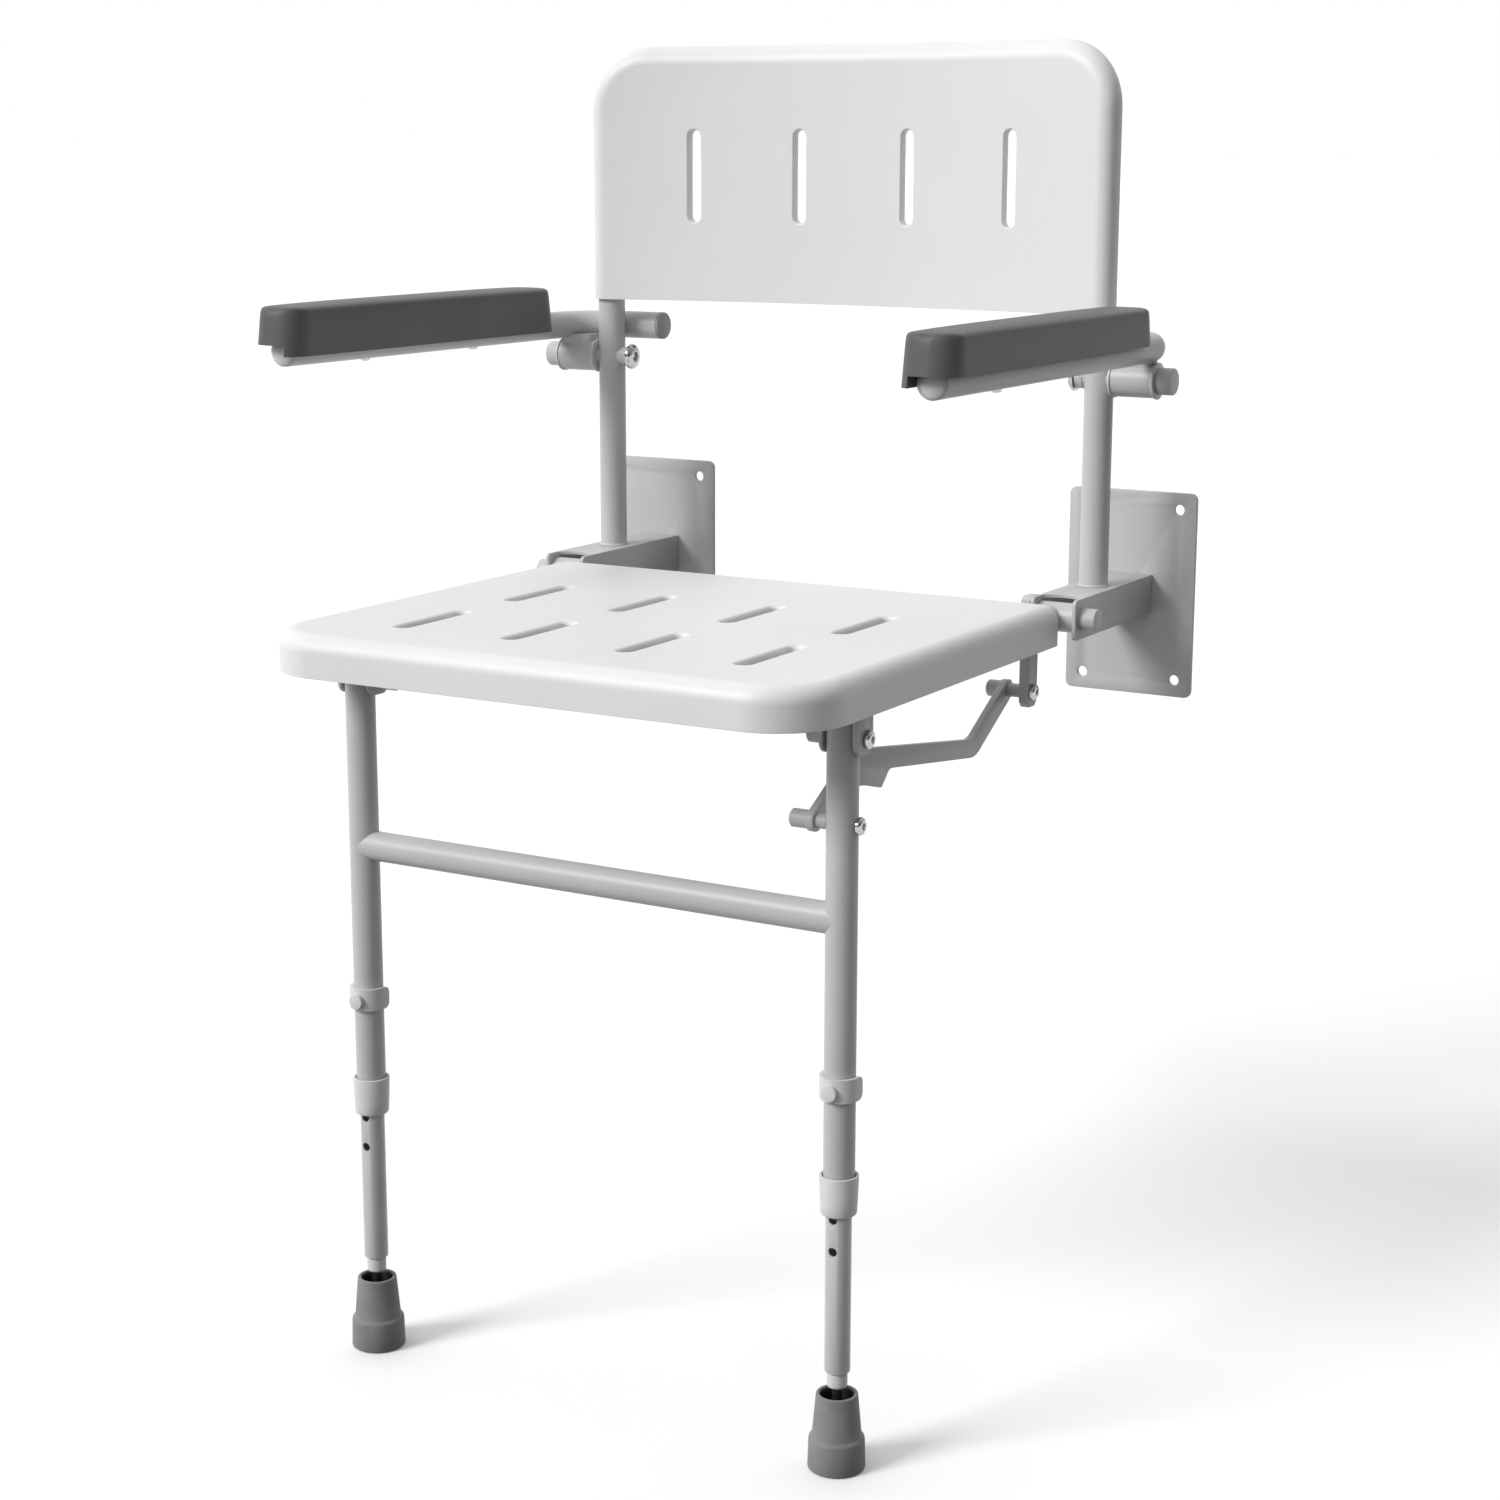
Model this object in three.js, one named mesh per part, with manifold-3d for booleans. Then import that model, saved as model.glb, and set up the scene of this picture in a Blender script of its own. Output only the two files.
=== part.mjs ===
// Wall-mounted shower seat with a backrest, lift-up arms and folding, height-adjustable front legs.
// Millimetres, +Z up. The wall is the plane Y = 0 and the seat stands out from it towards -Y.
// The origin is on the wall, midway between the two wall plates, at the height of the seat hinge.

import * as THREE from 'three';
import Module from 'manifold-3d';
import { mergeVertices } from 'three/addons/utils/BufferGeometryUtils.js';
import { TessellateModifier } from 'three/addons/modifiers/TessellateModifier.js';

const wasm = await Module();
wasm.setup();

// ---- driving dimensions ----

const GAP = 0.3; // air left between two pieces that touch
const TUBE_SIDES = 14;
const PIN_SIDES = 10;
const HOLE_SIDES = 8;

// wall bracket
const SIDE_X = 238; // wall plate, wall arm and back post share this centre
const PLATE = { width: 116, height: 176, thick: 4, corner: 6, holePitchX: 85, holePitchZ: 147, holeR: 4.5 };
const ARM = { width: 40, height: 33, wall: 3, frontY: -167, corner: 4, notch: 26 };
const HINGE = { y: -153, z: 0, pinR: 9, stub: 14 }; // seat hinge axis
const DROP_BAR = { thick: 8.2, depth: 18, bottomZ: -76 }; // fitted on the right only, like the link

// back frame and panel
const POST_Y = -85;
const TUBE_R = 12; // posts, legs and arms
const TUBE_WALL = 2;
const BACK = { halfWidth: 251, bottomZ: 240, topZ: 459.5, frontY: -71.5, bendR: 960, depth: 20, wall: 3.5,
  roll: 16, corner: 54 };
const BACK_SLOT = { xs: [-152, -52, 52, 152], length: 80, width: 12, midZ: 348.5 };
// inside the panel the posts step in a little
const HOOP = { x: 231, y: -82, lowZ: 240, highZ: 265, bend: 42, gap: 1.1 };

// seat
const SEAT = { halfWidth: 245, frontY: -590, rearY: -172, topZ: 12.2, bottomZ: -21, wall: 3, roll: 14,
  corner: 56 };
const SEAT_SLOT = { length: 88, width: 12, xs: [-152, -51, 51, 152], rows: [-331, -479] };
const RAIL_R = 10; // seat side rails and cross tubes
const RAIL_X = 230.4;
const RAIL_Z = -1.2;
const RAIL_FRONT_Y = -520;
const CROSS_Y = [-215, -455];
const SLEEVE_R = 12;

// folding legs
const LEG = { x: 218.4, y: -489, topZ: -27, bottomZ: -398, bore: 10.3 };
const LEG_PIVOT = { y: -481, z: -41.5 }; // leg on the seat
const LINK_OFFSET = { y: -6, z: -63.5 }; // link pivots lie this far from the seat hinge and the leg pivot
const LINK_REAR = { y: HINGE.y + LINK_OFFSET.y, z: HINGE.z + LINK_OFFSET.z };
const LINK_FRONT = { y: LEG_PIVOT.y + LINK_OFFSET.y, z: LEG_PIVOT.z + LINK_OFFSET.z };
const LINK_X = 194; // middle of the flat link
const LINK_THICK = 6;
const BRACKET = { inner: 12.4, outer: 15.4, frontY: -498, rearY: -471.5, bottomZ: -52.5 };
const CROSSBAR_Z = -176.4;
const BOLT_R = 4;
const BOLT_HEAD_R = 6.8;
const PIN_STUB_R = 7;

// height adjustment
const HOLE_PITCH = 25.4;
const INNER_LEG = { r: 9.9, wall: 1.9, topZ: -244, bottomZ: -530, holeR: 3.7 };
const CLIP = { z: -305, bandTop: -295, bandBottom: -313, r: 15.4, pinR: 3.2, prongY: 7, buttonR: 6.4 };
const PLUG = { neckR: 8, neckZ: -543.5, stemR: 4, stemZ: -588 };
const FLOOR_Z = -609;

// arms
const PIVOT = { y: POST_Y, z: 188.5 };
const ARM_TUBE = { x: 285, z: 215.5, frontY: -488.5, backY: -60, endX: 201, bend: 40 };
const ARM_SLEEVE = { r: 14, x0: 253, x1: 288 };
const AXLE_R = 8;
const PAD = { x0: 262, x1: 308, frontY: -506, rearY: -132, innerZ: 212.5, outerZ: 221, topZ: 252.6,
  corner: 20 };
const AXLE_END = { spacer: 7.5, spacerR: 8.8, screwR: 11, screwHeight: 5.2, stubX: 303.8 };

// ---- materials ----

function paint(color, roughness, metalness) {
  return new THREE.MeshStandardMaterial({ color, roughness, metalness });
}
const POWDER_COAT = paint(0xb9babb, 0.45, 0.1);
const WHITE_MOULDING = paint(0xf2f2f1, 0.4, 0);
const OFF_WHITE_PLASTIC = paint(0xdcdcda, 0.45, 0);
const GREY_PAD = paint(0x5f5c5d, 0.6, 0);
const GREY_RUBBER = paint(0x828282, 0.75, 0);
const CHROME = paint(0xd8d8da, 0.12, 1);
const END_CAP = paint(0x8d8e90, 0.5, 0);

// ---- solids ----

const group = new THREE.Group();

function toSolid(geometry) {
  const bare = geometry.index ? geometry.toNonIndexed() : geometry.clone();
  bare.deleteAttribute('normal');
  bare.deleteAttribute('uv');
  const merged = mergeVertices(bare, 1e-4);
  return new wasm.Manifold(new wasm.Mesh({
    numProp: 3,
    vertProperties: new Float32Array(merged.attributes.position.array),
    triVerts: new Uint32Array(merged.index.array),
  }));
}

function toGeometry(solid) {
  const mesh = solid.getMesh();
  const points = [];
  for (let i = 0; i < mesh.vertProperties.length; i += mesh.numProp) {
    points.push(mesh.vertProperties[i], mesh.vertProperties[i + 1], mesh.vertProperties[i + 2]);
  }
  const geometry = new THREE.BufferGeometry();
  geometry.setAttribute('position', new THREE.Float32BufferAttribute(points, 3));
  geometry.setIndex(new THREE.Uint32BufferAttribute(Array.from(mesh.triVerts), 1));
  return geometry;
}

function add(name, solid, material) {
  const mesh = new THREE.Mesh(toGeometry(solid), material);
  mesh.name = name;
  group.add(mesh);
}

function box(x0, x1, y0, y1, z0, z1) {
  const geometry = new THREE.BoxGeometry(Math.abs(x1 - x0), Math.abs(y1 - y0), Math.abs(z1 - z0));
  geometry.translate((x0 + x1) / 2, (y0 + y1) / 2, (z0 + z1) / 2);
  return toSolid(geometry);
}

// Round bars: from a to b along the named axis, centred on the other two coordinates.
function rodX(radius, x0, x1, y, z, sides = PIN_SIDES) {
  const geometry = new THREE.CylinderGeometry(radius, radius, Math.abs(x1 - x0), sides);
  geometry.rotateZ(Math.PI / 2);
  geometry.translate((x0 + x1) / 2, y, z);
  return toSolid(geometry);
}

function rodY(radius, y0, y1, x, z, sides = TUBE_SIDES) {
  const geometry = new THREE.CylinderGeometry(radius, radius, Math.abs(y1 - y0), sides);
  geometry.translate(x, (y0 + y1) / 2, z);
  return toSolid(geometry);
}

function rodZ(radius, z0, z1, x, y, sides = TUBE_SIDES) {
  const geometry = new THREE.CylinderGeometry(radius, radius, Math.abs(z1 - z0), sides);
  geometry.rotateX(Math.PI / 2);
  geometry.translate(x, y, (z0 + z1) / 2);
  return toSolid(geometry);
}

// A turned piece on an X axis: profile points are (distance along X, radius).
function turnedX(profile, y, z, sides = PIN_SIDES) {
  const points = profile.map(([x, r]) => new THREE.Vector2(r, x));
  const geometry = new THREE.LatheGeometry(points, sides);
  geometry.rotateZ(-Math.PI / 2);
  geometry.translate(0, y, z);
  return outward(geometry);
}

function turnedZ(profile, x, y, sides = TUBE_SIDES) {
  const points = profile.map(([z, r]) => new THREE.Vector2(r, z));
  const geometry = new THREE.LatheGeometry(points, sides);
  geometry.rotateX(Math.PI / 2);
  geometry.translate(x, y, 0);
  return outward(geometry);
}

// A turned outline can run either way round, so its faces are turned out where its volume is negative.
function outward(geometry) {
  const solid = toSolid(geometry);
  if (solid.volume() > 0) return solid;
  const flipped = geometry.clone();
  const index = flipped.index.array;
  for (let i = 0; i < index.length; i += 3) {
    [index[i], index[i + 1]] = [index[i + 1], index[i]];
  }
  return toSolid(flipped);
}

function roundedRect(x0, x1, y0, y1, r) {
  const shape = new THREE.Shape();
  shape.moveTo(x0 + r, y0);
  shape.lineTo(x1 - r, y0);
  shape.absarc(x1 - r, y0 + r, r, -Math.PI / 2, 0);
  shape.lineTo(x1, y1 - r);
  shape.absarc(x1 - r, y1 - r, r, 0, Math.PI / 2);
  shape.lineTo(x0 + r, y1);
  shape.absarc(x0 + r, y1 - r, r, Math.PI / 2, Math.PI);
  shape.lineTo(x0, y0 + r);
  shape.absarc(x0 + r, y0 + r, r, Math.PI, Math.PI * 1.5);
  return shape;
}

// Outline in (y, z), extruded from x0 to x1.
function plateX(shape, x0, x1, curveSegments = 8) {
  const geometry = new THREE.ExtrudeGeometry(shape, { depth: x1 - x0, bevelEnabled: false, curveSegments });
  geometry.applyMatrix4(new THREE.Matrix4().makeBasis(
    new THREE.Vector3(0, 1, 0), new THREE.Vector3(0, 0, 1), new THREE.Vector3(1, 0, 0)));
  geometry.translate(x0, 0, 0);
  return toSolid(geometry);
}

// Outline in (x, z), extruded from the front at y0 back to y1.
function plateY(shape, y0, y1, curveSegments = 8) {
  const geometry = new THREE.ExtrudeGeometry(shape, { depth: y1 - y0, bevelEnabled: false, curveSegments });
  geometry.rotateX(Math.PI / 2);
  geometry.translate(0, y1, 0);
  return toSolid(geometry);
}

// Outline in (x, y), extruded from z0 up to z1.
function plateZ(shape, z0, z1, curveSegments = 8) {
  const geometry = new THREE.ExtrudeGeometry(shape, { depth: z1 - z0, bevelEnabled: false, curveSegments });
  geometry.translate(0, 0, z0);
  return toSolid(geometry);
}

// A pillow with a rounded edge of radius roll on both faces, outline in (x, y), thickness along +Z from z0.
function pillow(shape, z0, z1, roll, curveSegments = 8) {
  const geometry = new THREE.ExtrudeGeometry(shape, {
    depth: z1 - z0 - 2 * roll, bevelThickness: roll, bevelSize: roll, bevelOffset: -roll,
    bevelSegments: 3, curveSegments,
  });
  geometry.translate(0, 0, z0 + roll);
  return toSolid(geometry);
}

// A round tube through a row of stations, which are close together only where it bends.
function bentTube(stations, radius, wall) {
  const section = new THREE.Shape();
  section.absarc(0, 0, radius, 0, Math.PI * 2);
  const bore = new THREE.Path();
  bore.absarc(0, 0, radius - wall, 0, Math.PI * 2);
  section.holes.push(bore);
  const path = new THREE.CatmullRomCurve3(stations);
  path.getUtoTmapping = (u) => u;
  const geometry = new THREE.ExtrudeGeometry(section, {
    extrudePath: path, steps: stations.length - 1, curveSegments: TUBE_SIDES / 2, bevelEnabled: false,
  });
  return outwardFlat(geometry);
}

// Stations round a corner: a quarter bend from start to end, turning at corner.
function bendStations(start, corner, end, count = 5) {
  const curve = new THREE.QuadraticBezierCurve3(start, corner, end);
  return curve.getPoints(count);
}

// Bore that clears a faceted pin of radius r at every angle.
function runningBore(r, sides = PIN_SIDES) {
  return r / Math.cos(Math.PI / sides) + 0.1;
}

function outwardFlat(geometry) {
  const solid = toSolid(geometry);
  if (solid.volume() > 0) return solid;
  const position = geometry.attributes.position;
  const flipped = geometry.clone();
  for (let i = 0; i < position.count; i += 3) {
    flipped.attributes.position.setXYZ(i, position.getX(i + 1), position.getY(i + 1), position.getZ(i + 1));
    flipped.attributes.position.setXYZ(i + 1, position.getX(i), position.getY(i), position.getZ(i));
  }
  return toSolid(flipped);
}

function slotZ(x, y, length, width, z0, z1) {
  return plateZ(roundedRect(x - width / 2, x + width / 2, y - length / 2, y + length / 2, width / 2 - 0.01),
    z0, z1, 3);
}

// M8 button-head screw whose head sits outboard of x, with its shank reaching in to shankEnd.
function buttonScrew(side, x, shankEnd, y, z, headR = BOLT_HEAD_R, shankR = BOLT_R, headHeight = 4.4) {
  const profile = [[shankEnd, 0], [shankEnd, shankR], [x, shankR], [x, headR],
    [x + headHeight * 0.45, headR]];
  for (let i = 1; i <= 2; i += 1) {
    const turn = (i / 2) * Math.PI / 2;
    profile.push([x + headHeight * (0.45 + 0.55 * Math.sin(turn)), headR * (0.5 + 0.5 * Math.cos(turn))]);
  }
  profile.push([x + headHeight, 0]);
  const solid = turnedX(profile, y, z);
  return side > 0 ? solid : solid.scale([-1, 1, 1]);
}

function mirrored(side, solid) {
  return side > 0 ? solid : solid.scale([-1, 1, 1]);
}

// ---- wall brackets ----

function wallPlate() {
  const { width, height, thick, corner, holePitchX, holePitchZ, holeR } = PLATE;
  let plate = plateY(roundedRect(SIDE_X - width / 2, SIDE_X + width / 2, -height / 2, height / 2, corner),
    -thick, 0, 3);
  for (const sx of [-1, 1]) {
    for (const sz of [-1, 1]) {
      plate = plate.subtract(rodY(holeR, -thick * 2, thick, SIDE_X + sx * holePitchX / 2,
        sz * holePitchZ / 2, HOLE_SIDES));
    }
  }
  return plate;
}

// Inverted channel: two flanges and a top web, open below, with the front of the web cut back in an arc.
function wallArm() {
  const x0 = SIDE_X - ARM.width / 2;
  const x1 = SIDE_X + ARM.width / 2;
  const half = ARM.height / 2;
  const side = roundedRect(ARM.frontY, -PLATE.thick - GAP, -half, half, ARM.corner);
  const rearBlock = box(x0, x1, -PLATE.thick - GAP - ARM.corner * 2, -PLATE.thick - GAP, -half, half);
  let arm = plateX(side, x0, x1, 2).add(rearBlock);
  arm = arm.subtract(box(x0 + ARM.wall, x1 - ARM.wall, ARM.frontY - 1, 0, -half - 1, half - ARM.wall));
  const notchR = (ARM.width / 2 - ARM.wall) * 1.25;
  arm = arm.subtract(rodZ(notchR, half - ARM.wall - 1, half + 1, SIDE_X, ARM.frontY + ARM.notch - notchR, 32)
    .intersect(box(x0 + ARM.wall, x1 - ARM.wall, ARM.frontY - 40, 0, -half, half + 2)));
  return arm.subtract(rodX(HINGE.pinR + 0.05, x0 - 1, x1 + 1, HINGE.y, HINGE.z, TUBE_SIDES));
}

// Solid pin through both flanges, with a plain stub standing out on the outboard side.
function hingePin() {
  const inner = SIDE_X - ARM.width / 2 + 0.5;
  const outer = SIDE_X + ARM.width / 2 + HINGE.stub;
  return turnedX([[inner, 0], [inner, HINGE.pinR], [outer - 1, HINGE.pinR], [outer, HINGE.pinR - 1],
    [outer, 0]], HINGE.y, HINGE.z, TUBE_SIDES);
}

// Flat bar that hangs from the inboard flange and carries the rear pivot of the link.
function dropBar() {
  const x1 = SIDE_X - ARM.width / 2 - GAP;
  const y0 = ARM.frontY;
  const y1 = y0 + DROP_BAR.depth;
  const shape = new THREE.Shape();
  shape.moveTo(y0, DROP_BAR.bottomZ + 5);
  shape.lineTo(y0 + 4, DROP_BAR.bottomZ);
  shape.lineTo(y1 - 4, DROP_BAR.bottomZ);
  shape.lineTo(y1, DROP_BAR.bottomZ + 5);
  shape.lineTo(y1, ARM.height / 2);
  shape.lineTo(y0 + 4, ARM.height / 2);
  shape.lineTo(y0, ARM.height / 2 - 3);
  shape.closePath();
  return plateX(shape, x1 - DROP_BAR.thick, x1)
    .subtract(rodX(BOLT_R + 0.1, x1 - 20, x1 + 5, LINK_REAR.y, LINK_REAR.z));
}

// ---- back frame ----

function backCurveY(x) {
  return -(x * x) / (2 * BACK.bendR);
}

// One bent tube: up the left post, across behind the top of the panel, and down the right post.
function backHoop() {
  const footZ = ARM.height / 2 + GAP;
  const { x: postX, y: postY, lowZ, highZ, bend, gap } = HOOP;
  const topZ = BACK.topZ - BACK.wall - TUBE_R - 1.5;
  const acrossY = BACK.frontY + BACK.wall + TUBE_R + gap;
  const across = (x) => new THREE.Vector3(x, acrossY + backCurveY(x), topZ);
  const onPost = (side, z) => new THREE.Vector3(side * SIDE_X, POST_Y, z);
  const inPanel = (side, z) => new THREE.Vector3(side * postX, postY, z);
  const corner = (side) => bendStations(inPanel(side, topZ - bend), inPanel(side, topZ),
    across(side * (postX - bend)));
  const upright = (side) => [onPost(side, footZ), onPost(side, lowZ - 20), onPost(side, lowZ),
    inPanel(side, highZ), inPanel(side, highZ + 20), inPanel(side, topZ - bend - 20)];
  const middle = [-0.66, -0.33, 0, 0.33, 0.66].map((t) => across(t * (postX - bend)));
  const stations = [...upright(-1), ...corner(-1), ...middle, ...corner(1).reverse(),
    ...upright(1).reverse()];
  let hoop = bentTube(stations, TUBE_R, TUBE_WALL);
  for (const side of [-1, 1]) {
    const bore = rodX(AXLE_R + 0.05, side * (SIDE_X - 20), side * (SIDE_X + 20), PIVOT.y, PIVOT.z);
    hoop = hoop.subtract(bore);
  }
  return hoop;
}

// Moulded panel that wraps round the posts, made flat and then bent to its hollow curve.
function backPanel() {
  const { halfWidth, bottomZ, topZ, depth, wall, roll, corner } = BACK;
  const below = 60;
  const outline = (inset) => roundedRect(-halfWidth + inset, halfWidth - inset, bottomZ - below,
    topZ - inset, corner - inset);
  // a pillow lies in (x, y) with its face up, so it is stood up here to face -Y
  const face = (inset) => {
    const geometry = toGeometry(pillow(outline(inset), -depth * 2, -inset, Math.max(roll - inset, 4), 5));
    geometry.rotateX(Math.PI / 2);
    return toSolid(geometry);
  };
  let shell = face(0).subtract(face(wall));
  shell = shell.intersect(box(-400, 400, -10, depth, bottomZ, topZ + 10));
  for (const x of BACK_SLOT.xs) {
    const half = BACK_SLOT.width / 2;
    const slot = roundedRect(x - half, x + half, BACK_SLOT.midZ - BACK_SLOT.length / 2,
      BACK_SLOT.midZ + BACK_SLOT.length / 2, half - 0.01);
    shell = shell.subtract(plateY(slot, -5, wall + 5, 3));
  }
  let geometry = toGeometry(shell).toNonIndexed();
  const squash = 0.08; // only long runs across the panel need more edges to bend along
  geometry.scale(1, 1, squash);
  geometry = new TessellateModifier(85, 8).modify(geometry);
  geometry.scale(1, 1, 1 / squash);
  const position = geometry.attributes.position;
  for (let i = 0; i < position.count; i += 1) {
    position.setY(i, position.getY(i) + BACK.frontY + backCurveY(position.getX(i)));
  }
  let panel = toSolid(geometry);
  for (const side of [-1, 1]) {
    panel = panel.subtract(rodZ(TUBE_R + 2 * GAP, bottomZ - 10, HOOP.highZ + 1, side * SIDE_X, POST_Y));
  }
  return panel;
}

// ---- seat ----

// Moulded shell: flat top, rolled front and sides, skirt all round but open at the rear.
function seatShell() {
  const { halfWidth, frontY, rearY, topZ, bottomZ, wall, roll, corner } = SEAT;
  const beyond = 80;
  const body = (inset) => pillow(roundedRect(-halfWidth + inset, halfWidth - inset, frontY + inset,
    rearY + beyond, corner - inset), bottomZ - 40, topZ - inset, Math.max(roll - inset, 4), 6);
  let shell = body(0).subtract(body(wall));
  shell = shell.intersect(box(-400, 400, frontY - 10, rearY, bottomZ, topZ + 10));
  for (const y of SEAT_SLOT.rows) {
    for (const x of SEAT_SLOT.xs) {
      shell = shell.subtract(slotZ(x, y, SEAT_SLOT.length, SEAT_SLOT.width, 0, topZ + 5));
    }
  }
  return shell;
}

// Side rail with the hinge sleeve welded across its rear end.
function seatRail() {
  const x0 = SIDE_X - ARM.width / 2 + ARM.wall + GAP;
  const x1 = SIDE_X + ARM.width / 2 - ARM.wall - GAP;
  const rail = rodY(RAIL_R, RAIL_FRONT_Y, HINGE.y, Math.max(RAIL_X, x0 + RAIL_R), RAIL_Z);
  return rail.add(rodX(SLEEVE_R, x0, x1, HINGE.y, HINGE.z, TUBE_SIDES))
    .subtract(rodX(runningBore(HINGE.pinR, TUBE_SIDES), x0 - 5, x1 + 5, HINGE.y, HINGE.z, TUBE_SIDES));
}

function crossTube(y) {
  const end = RAIL_X - RAIL_R - 1.5;
  return rodX(RAIL_R - 1, -end, end, y, RAIL_Z, TUBE_SIDES);
}

// Folded bracket under the rail: a top plate and two ears, one on each side of the leg.
function legBracket() {
  const { inner, outer, frontY, rearY, bottomZ } = BRACKET;
  const plateTop = SEAT.bottomZ + 9;
  const ear = (x0, x1) => {
    const shape = new THREE.Shape();
    shape.moveTo(frontY, plateTop);
    shape.lineTo(frontY, bottomZ + 9);
    shape.absarc(frontY + 9, bottomZ + 9, 9, Math.PI, Math.PI * 1.5);
    shape.lineTo(rearY - 8, bottomZ);
    shape.absarc(rearY - 8, bottomZ + 8, 8, Math.PI * 1.5, Math.PI * 2);
    shape.lineTo(rearY, plateTop);
    shape.closePath();
    return plateX(shape, x0, x1, 3);
  };
  const top = box(LEG.x - outer, LEG.x + outer, frontY, rearY, plateTop - 3.5, plateTop);
  return ear(LEG.x - outer, LEG.x - inner).add(ear(LEG.x + inner, LEG.x + outer)).add(top)
    .subtract(rodX(BOLT_R + 0.1, LEG.x - 30, LEG.x + 30, LEG_PIVOT.y, LEG_PIVOT.z));
}

// Shouldered pin with a thick inboard stub; the shaft is drilled for the outboard screw.
function stubPin(stubX0, stubX1, shaftEnd, spacer, y, z) {
  const profile = [[stubX0, 0], [stubX0, PIN_STUB_R - 1], [stubX0 + 1, PIN_STUB_R], [stubX1, PIN_STUB_R],
    [stubX1, BOLT_R]];
  if (spacer) {
    profile.push([spacer[0], BOLT_R], [spacer[0], spacer[2]], [spacer[1], spacer[2]], [spacer[1], BOLT_R]);
  }
  profile.push([shaftEnd, BOLT_R], [shaftEnd, 0]);
  return turnedX(profile, y, z);
}

// ---- folding legs ----

// The link's pin passes through the right-hand leg only.
function outerLeg(withLink) {
  const tube = rodZ(TUBE_R, LEG.bottomZ, LEG.topZ, LEG.x, LEG.y)
    .subtract(rodZ(LEG.bore, LEG.bottomZ - 1, LEG.topZ + 1, LEG.x, LEG.y));
  const pinHole = rodY(CLIP.pinR + 0.4, LEG.y - TUBE_R - 10, LEG.y - TUBE_R + 10, LEG.x, CLIP.z, HOLE_SIDES);
  const leg = tube
    .subtract(rodX(runningBore(BOLT_R), LEG.x - 20, LEG.x + 20, LEG_PIVOT.y, LEG_PIVOT.z))
    .subtract(pinHole);
  if (!withLink) return leg;
  return leg.subtract(rodX(BOLT_R + 0.1, LEG.x - 20, LEG.x + 20, LINK_FRONT.y, LINK_FRONT.z));
}

// Cross tube with its ends coped to fit against the round legs.
function crossbar() {
  let bar = rodX(TUBE_R, -LEG.x, LEG.x, LEG.y, CROSSBAR_Z, TUBE_SIDES);
  bar = bar.subtract(rodX(TUBE_R - TUBE_WALL, -LEG.x, LEG.x, LEG.y, CROSSBAR_Z, TUBE_SIDES));
  for (const side of [-1, 1]) {
    bar = bar.subtract(rodZ(TUBE_R + GAP, CROSSBAR_Z - 40, CROSSBAR_Z + 40, side * LEG.x, LEG.y));
  }
  return bar.intersect(box(-LEG.x + 4, LEG.x - 4, -600, -400, CROSSBAR_Z - 40, CROSSBAR_Z + 40));
}

// Collar that closes the foot of the outer leg round the inner one.
function legCollar() {
  const bore = INNER_LEG.r + 0.25;
  const seatR = TUBE_R + GAP;
  const shoulder = LEG.bottomZ - GAP;
  return turnedZ([[-404, bore], [-404, 13.9], [-374, 15], [-373, 14.2], [-373, seatR], [shoulder, seatR],
    [shoulder, bore], [-404, bore]], LEG.x, LEG.y);
}

// Flat cranked link: an eye at each end, a dip under the rear of the seat and a deep heel behind the leg.
function foldLink() {
  const eyeR = 8.5;
  const rear = LINK_REAR;
  const front = LINK_FRONT;
  const shape = new THREE.Shape();
  shape.absarc(rear.y, rear.z, eyeR, -0.95, 2.1, false);
  shape.lineTo(-217, -90);
  shape.quadraticCurveTo(-223, -92.5, -231, -90.5);
  shape.lineTo(-420, -64.5);
  shape.quadraticCurveTo(-440, -62, -452, -71);
  shape.lineTo(front.y - 5, front.z + 7);
  shape.absarc(front.y, front.z, eyeR, 2.2, 5.2, false);
  shape.lineTo(-462, -97);
  shape.lineTo(-430, -91);
  shape.lineTo(-412, -94);
  shape.lineTo(-386, -101);
  shape.quadraticCurveTo(-378, -90, -370, -89);
  shape.lineTo(-231, -108);
  shape.quadraticCurveTo(-214, -110, -205, -103.5);
  shape.closePath();
  return plateX(shape, LINK_X - LINK_THICK / 2, LINK_X + LINK_THICK / 2, 4)
    .subtract(rodX(runningBore(BOLT_R), LINK_X - 10, LINK_X + 10, rear.y, rear.z))
    .subtract(rodX(runningBore(BOLT_R), LINK_X - 10, LINK_X + 10, front.y, front.z));
}

// ---- height adjustment ----

function innerLeg() {
  const { r, wall, topZ, bottomZ, holeR } = INNER_LEG;
  let tube = rodZ(r, bottomZ, topZ, LEG.x, LEG.y)
    .subtract(rodZ(r - wall, bottomZ - 1, topZ + 1, LEG.x, LEG.y));
  for (let i = -1; i <= 5; i += 1) {
    tube = tube.subtract(rodY(holeR, LEG.y - r - 10, LEG.y - r + 9, LEG.x, CLIP.z - i * HOLE_PITCH, 8));
  }
  return tube;
}

// Turned plug in the end of the inner leg: a short neck, then a thin stem that carries the ferrule.
function legPlug() {
  const bore = INNER_LEG.r - INNER_LEG.wall - 0.2;
  const { neckR, neckZ, stemR, stemZ } = PLUG;
  return turnedZ([[stemZ, 0], [stemZ, stemR], [neckZ, stemR], [neckZ, neckR - 1], [neckZ + 2, neckR],
    [-530.4, neckR], [-530.4, bore], [-516, bore], [-516, 0]], LEG.x, LEG.y);
}

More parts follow.
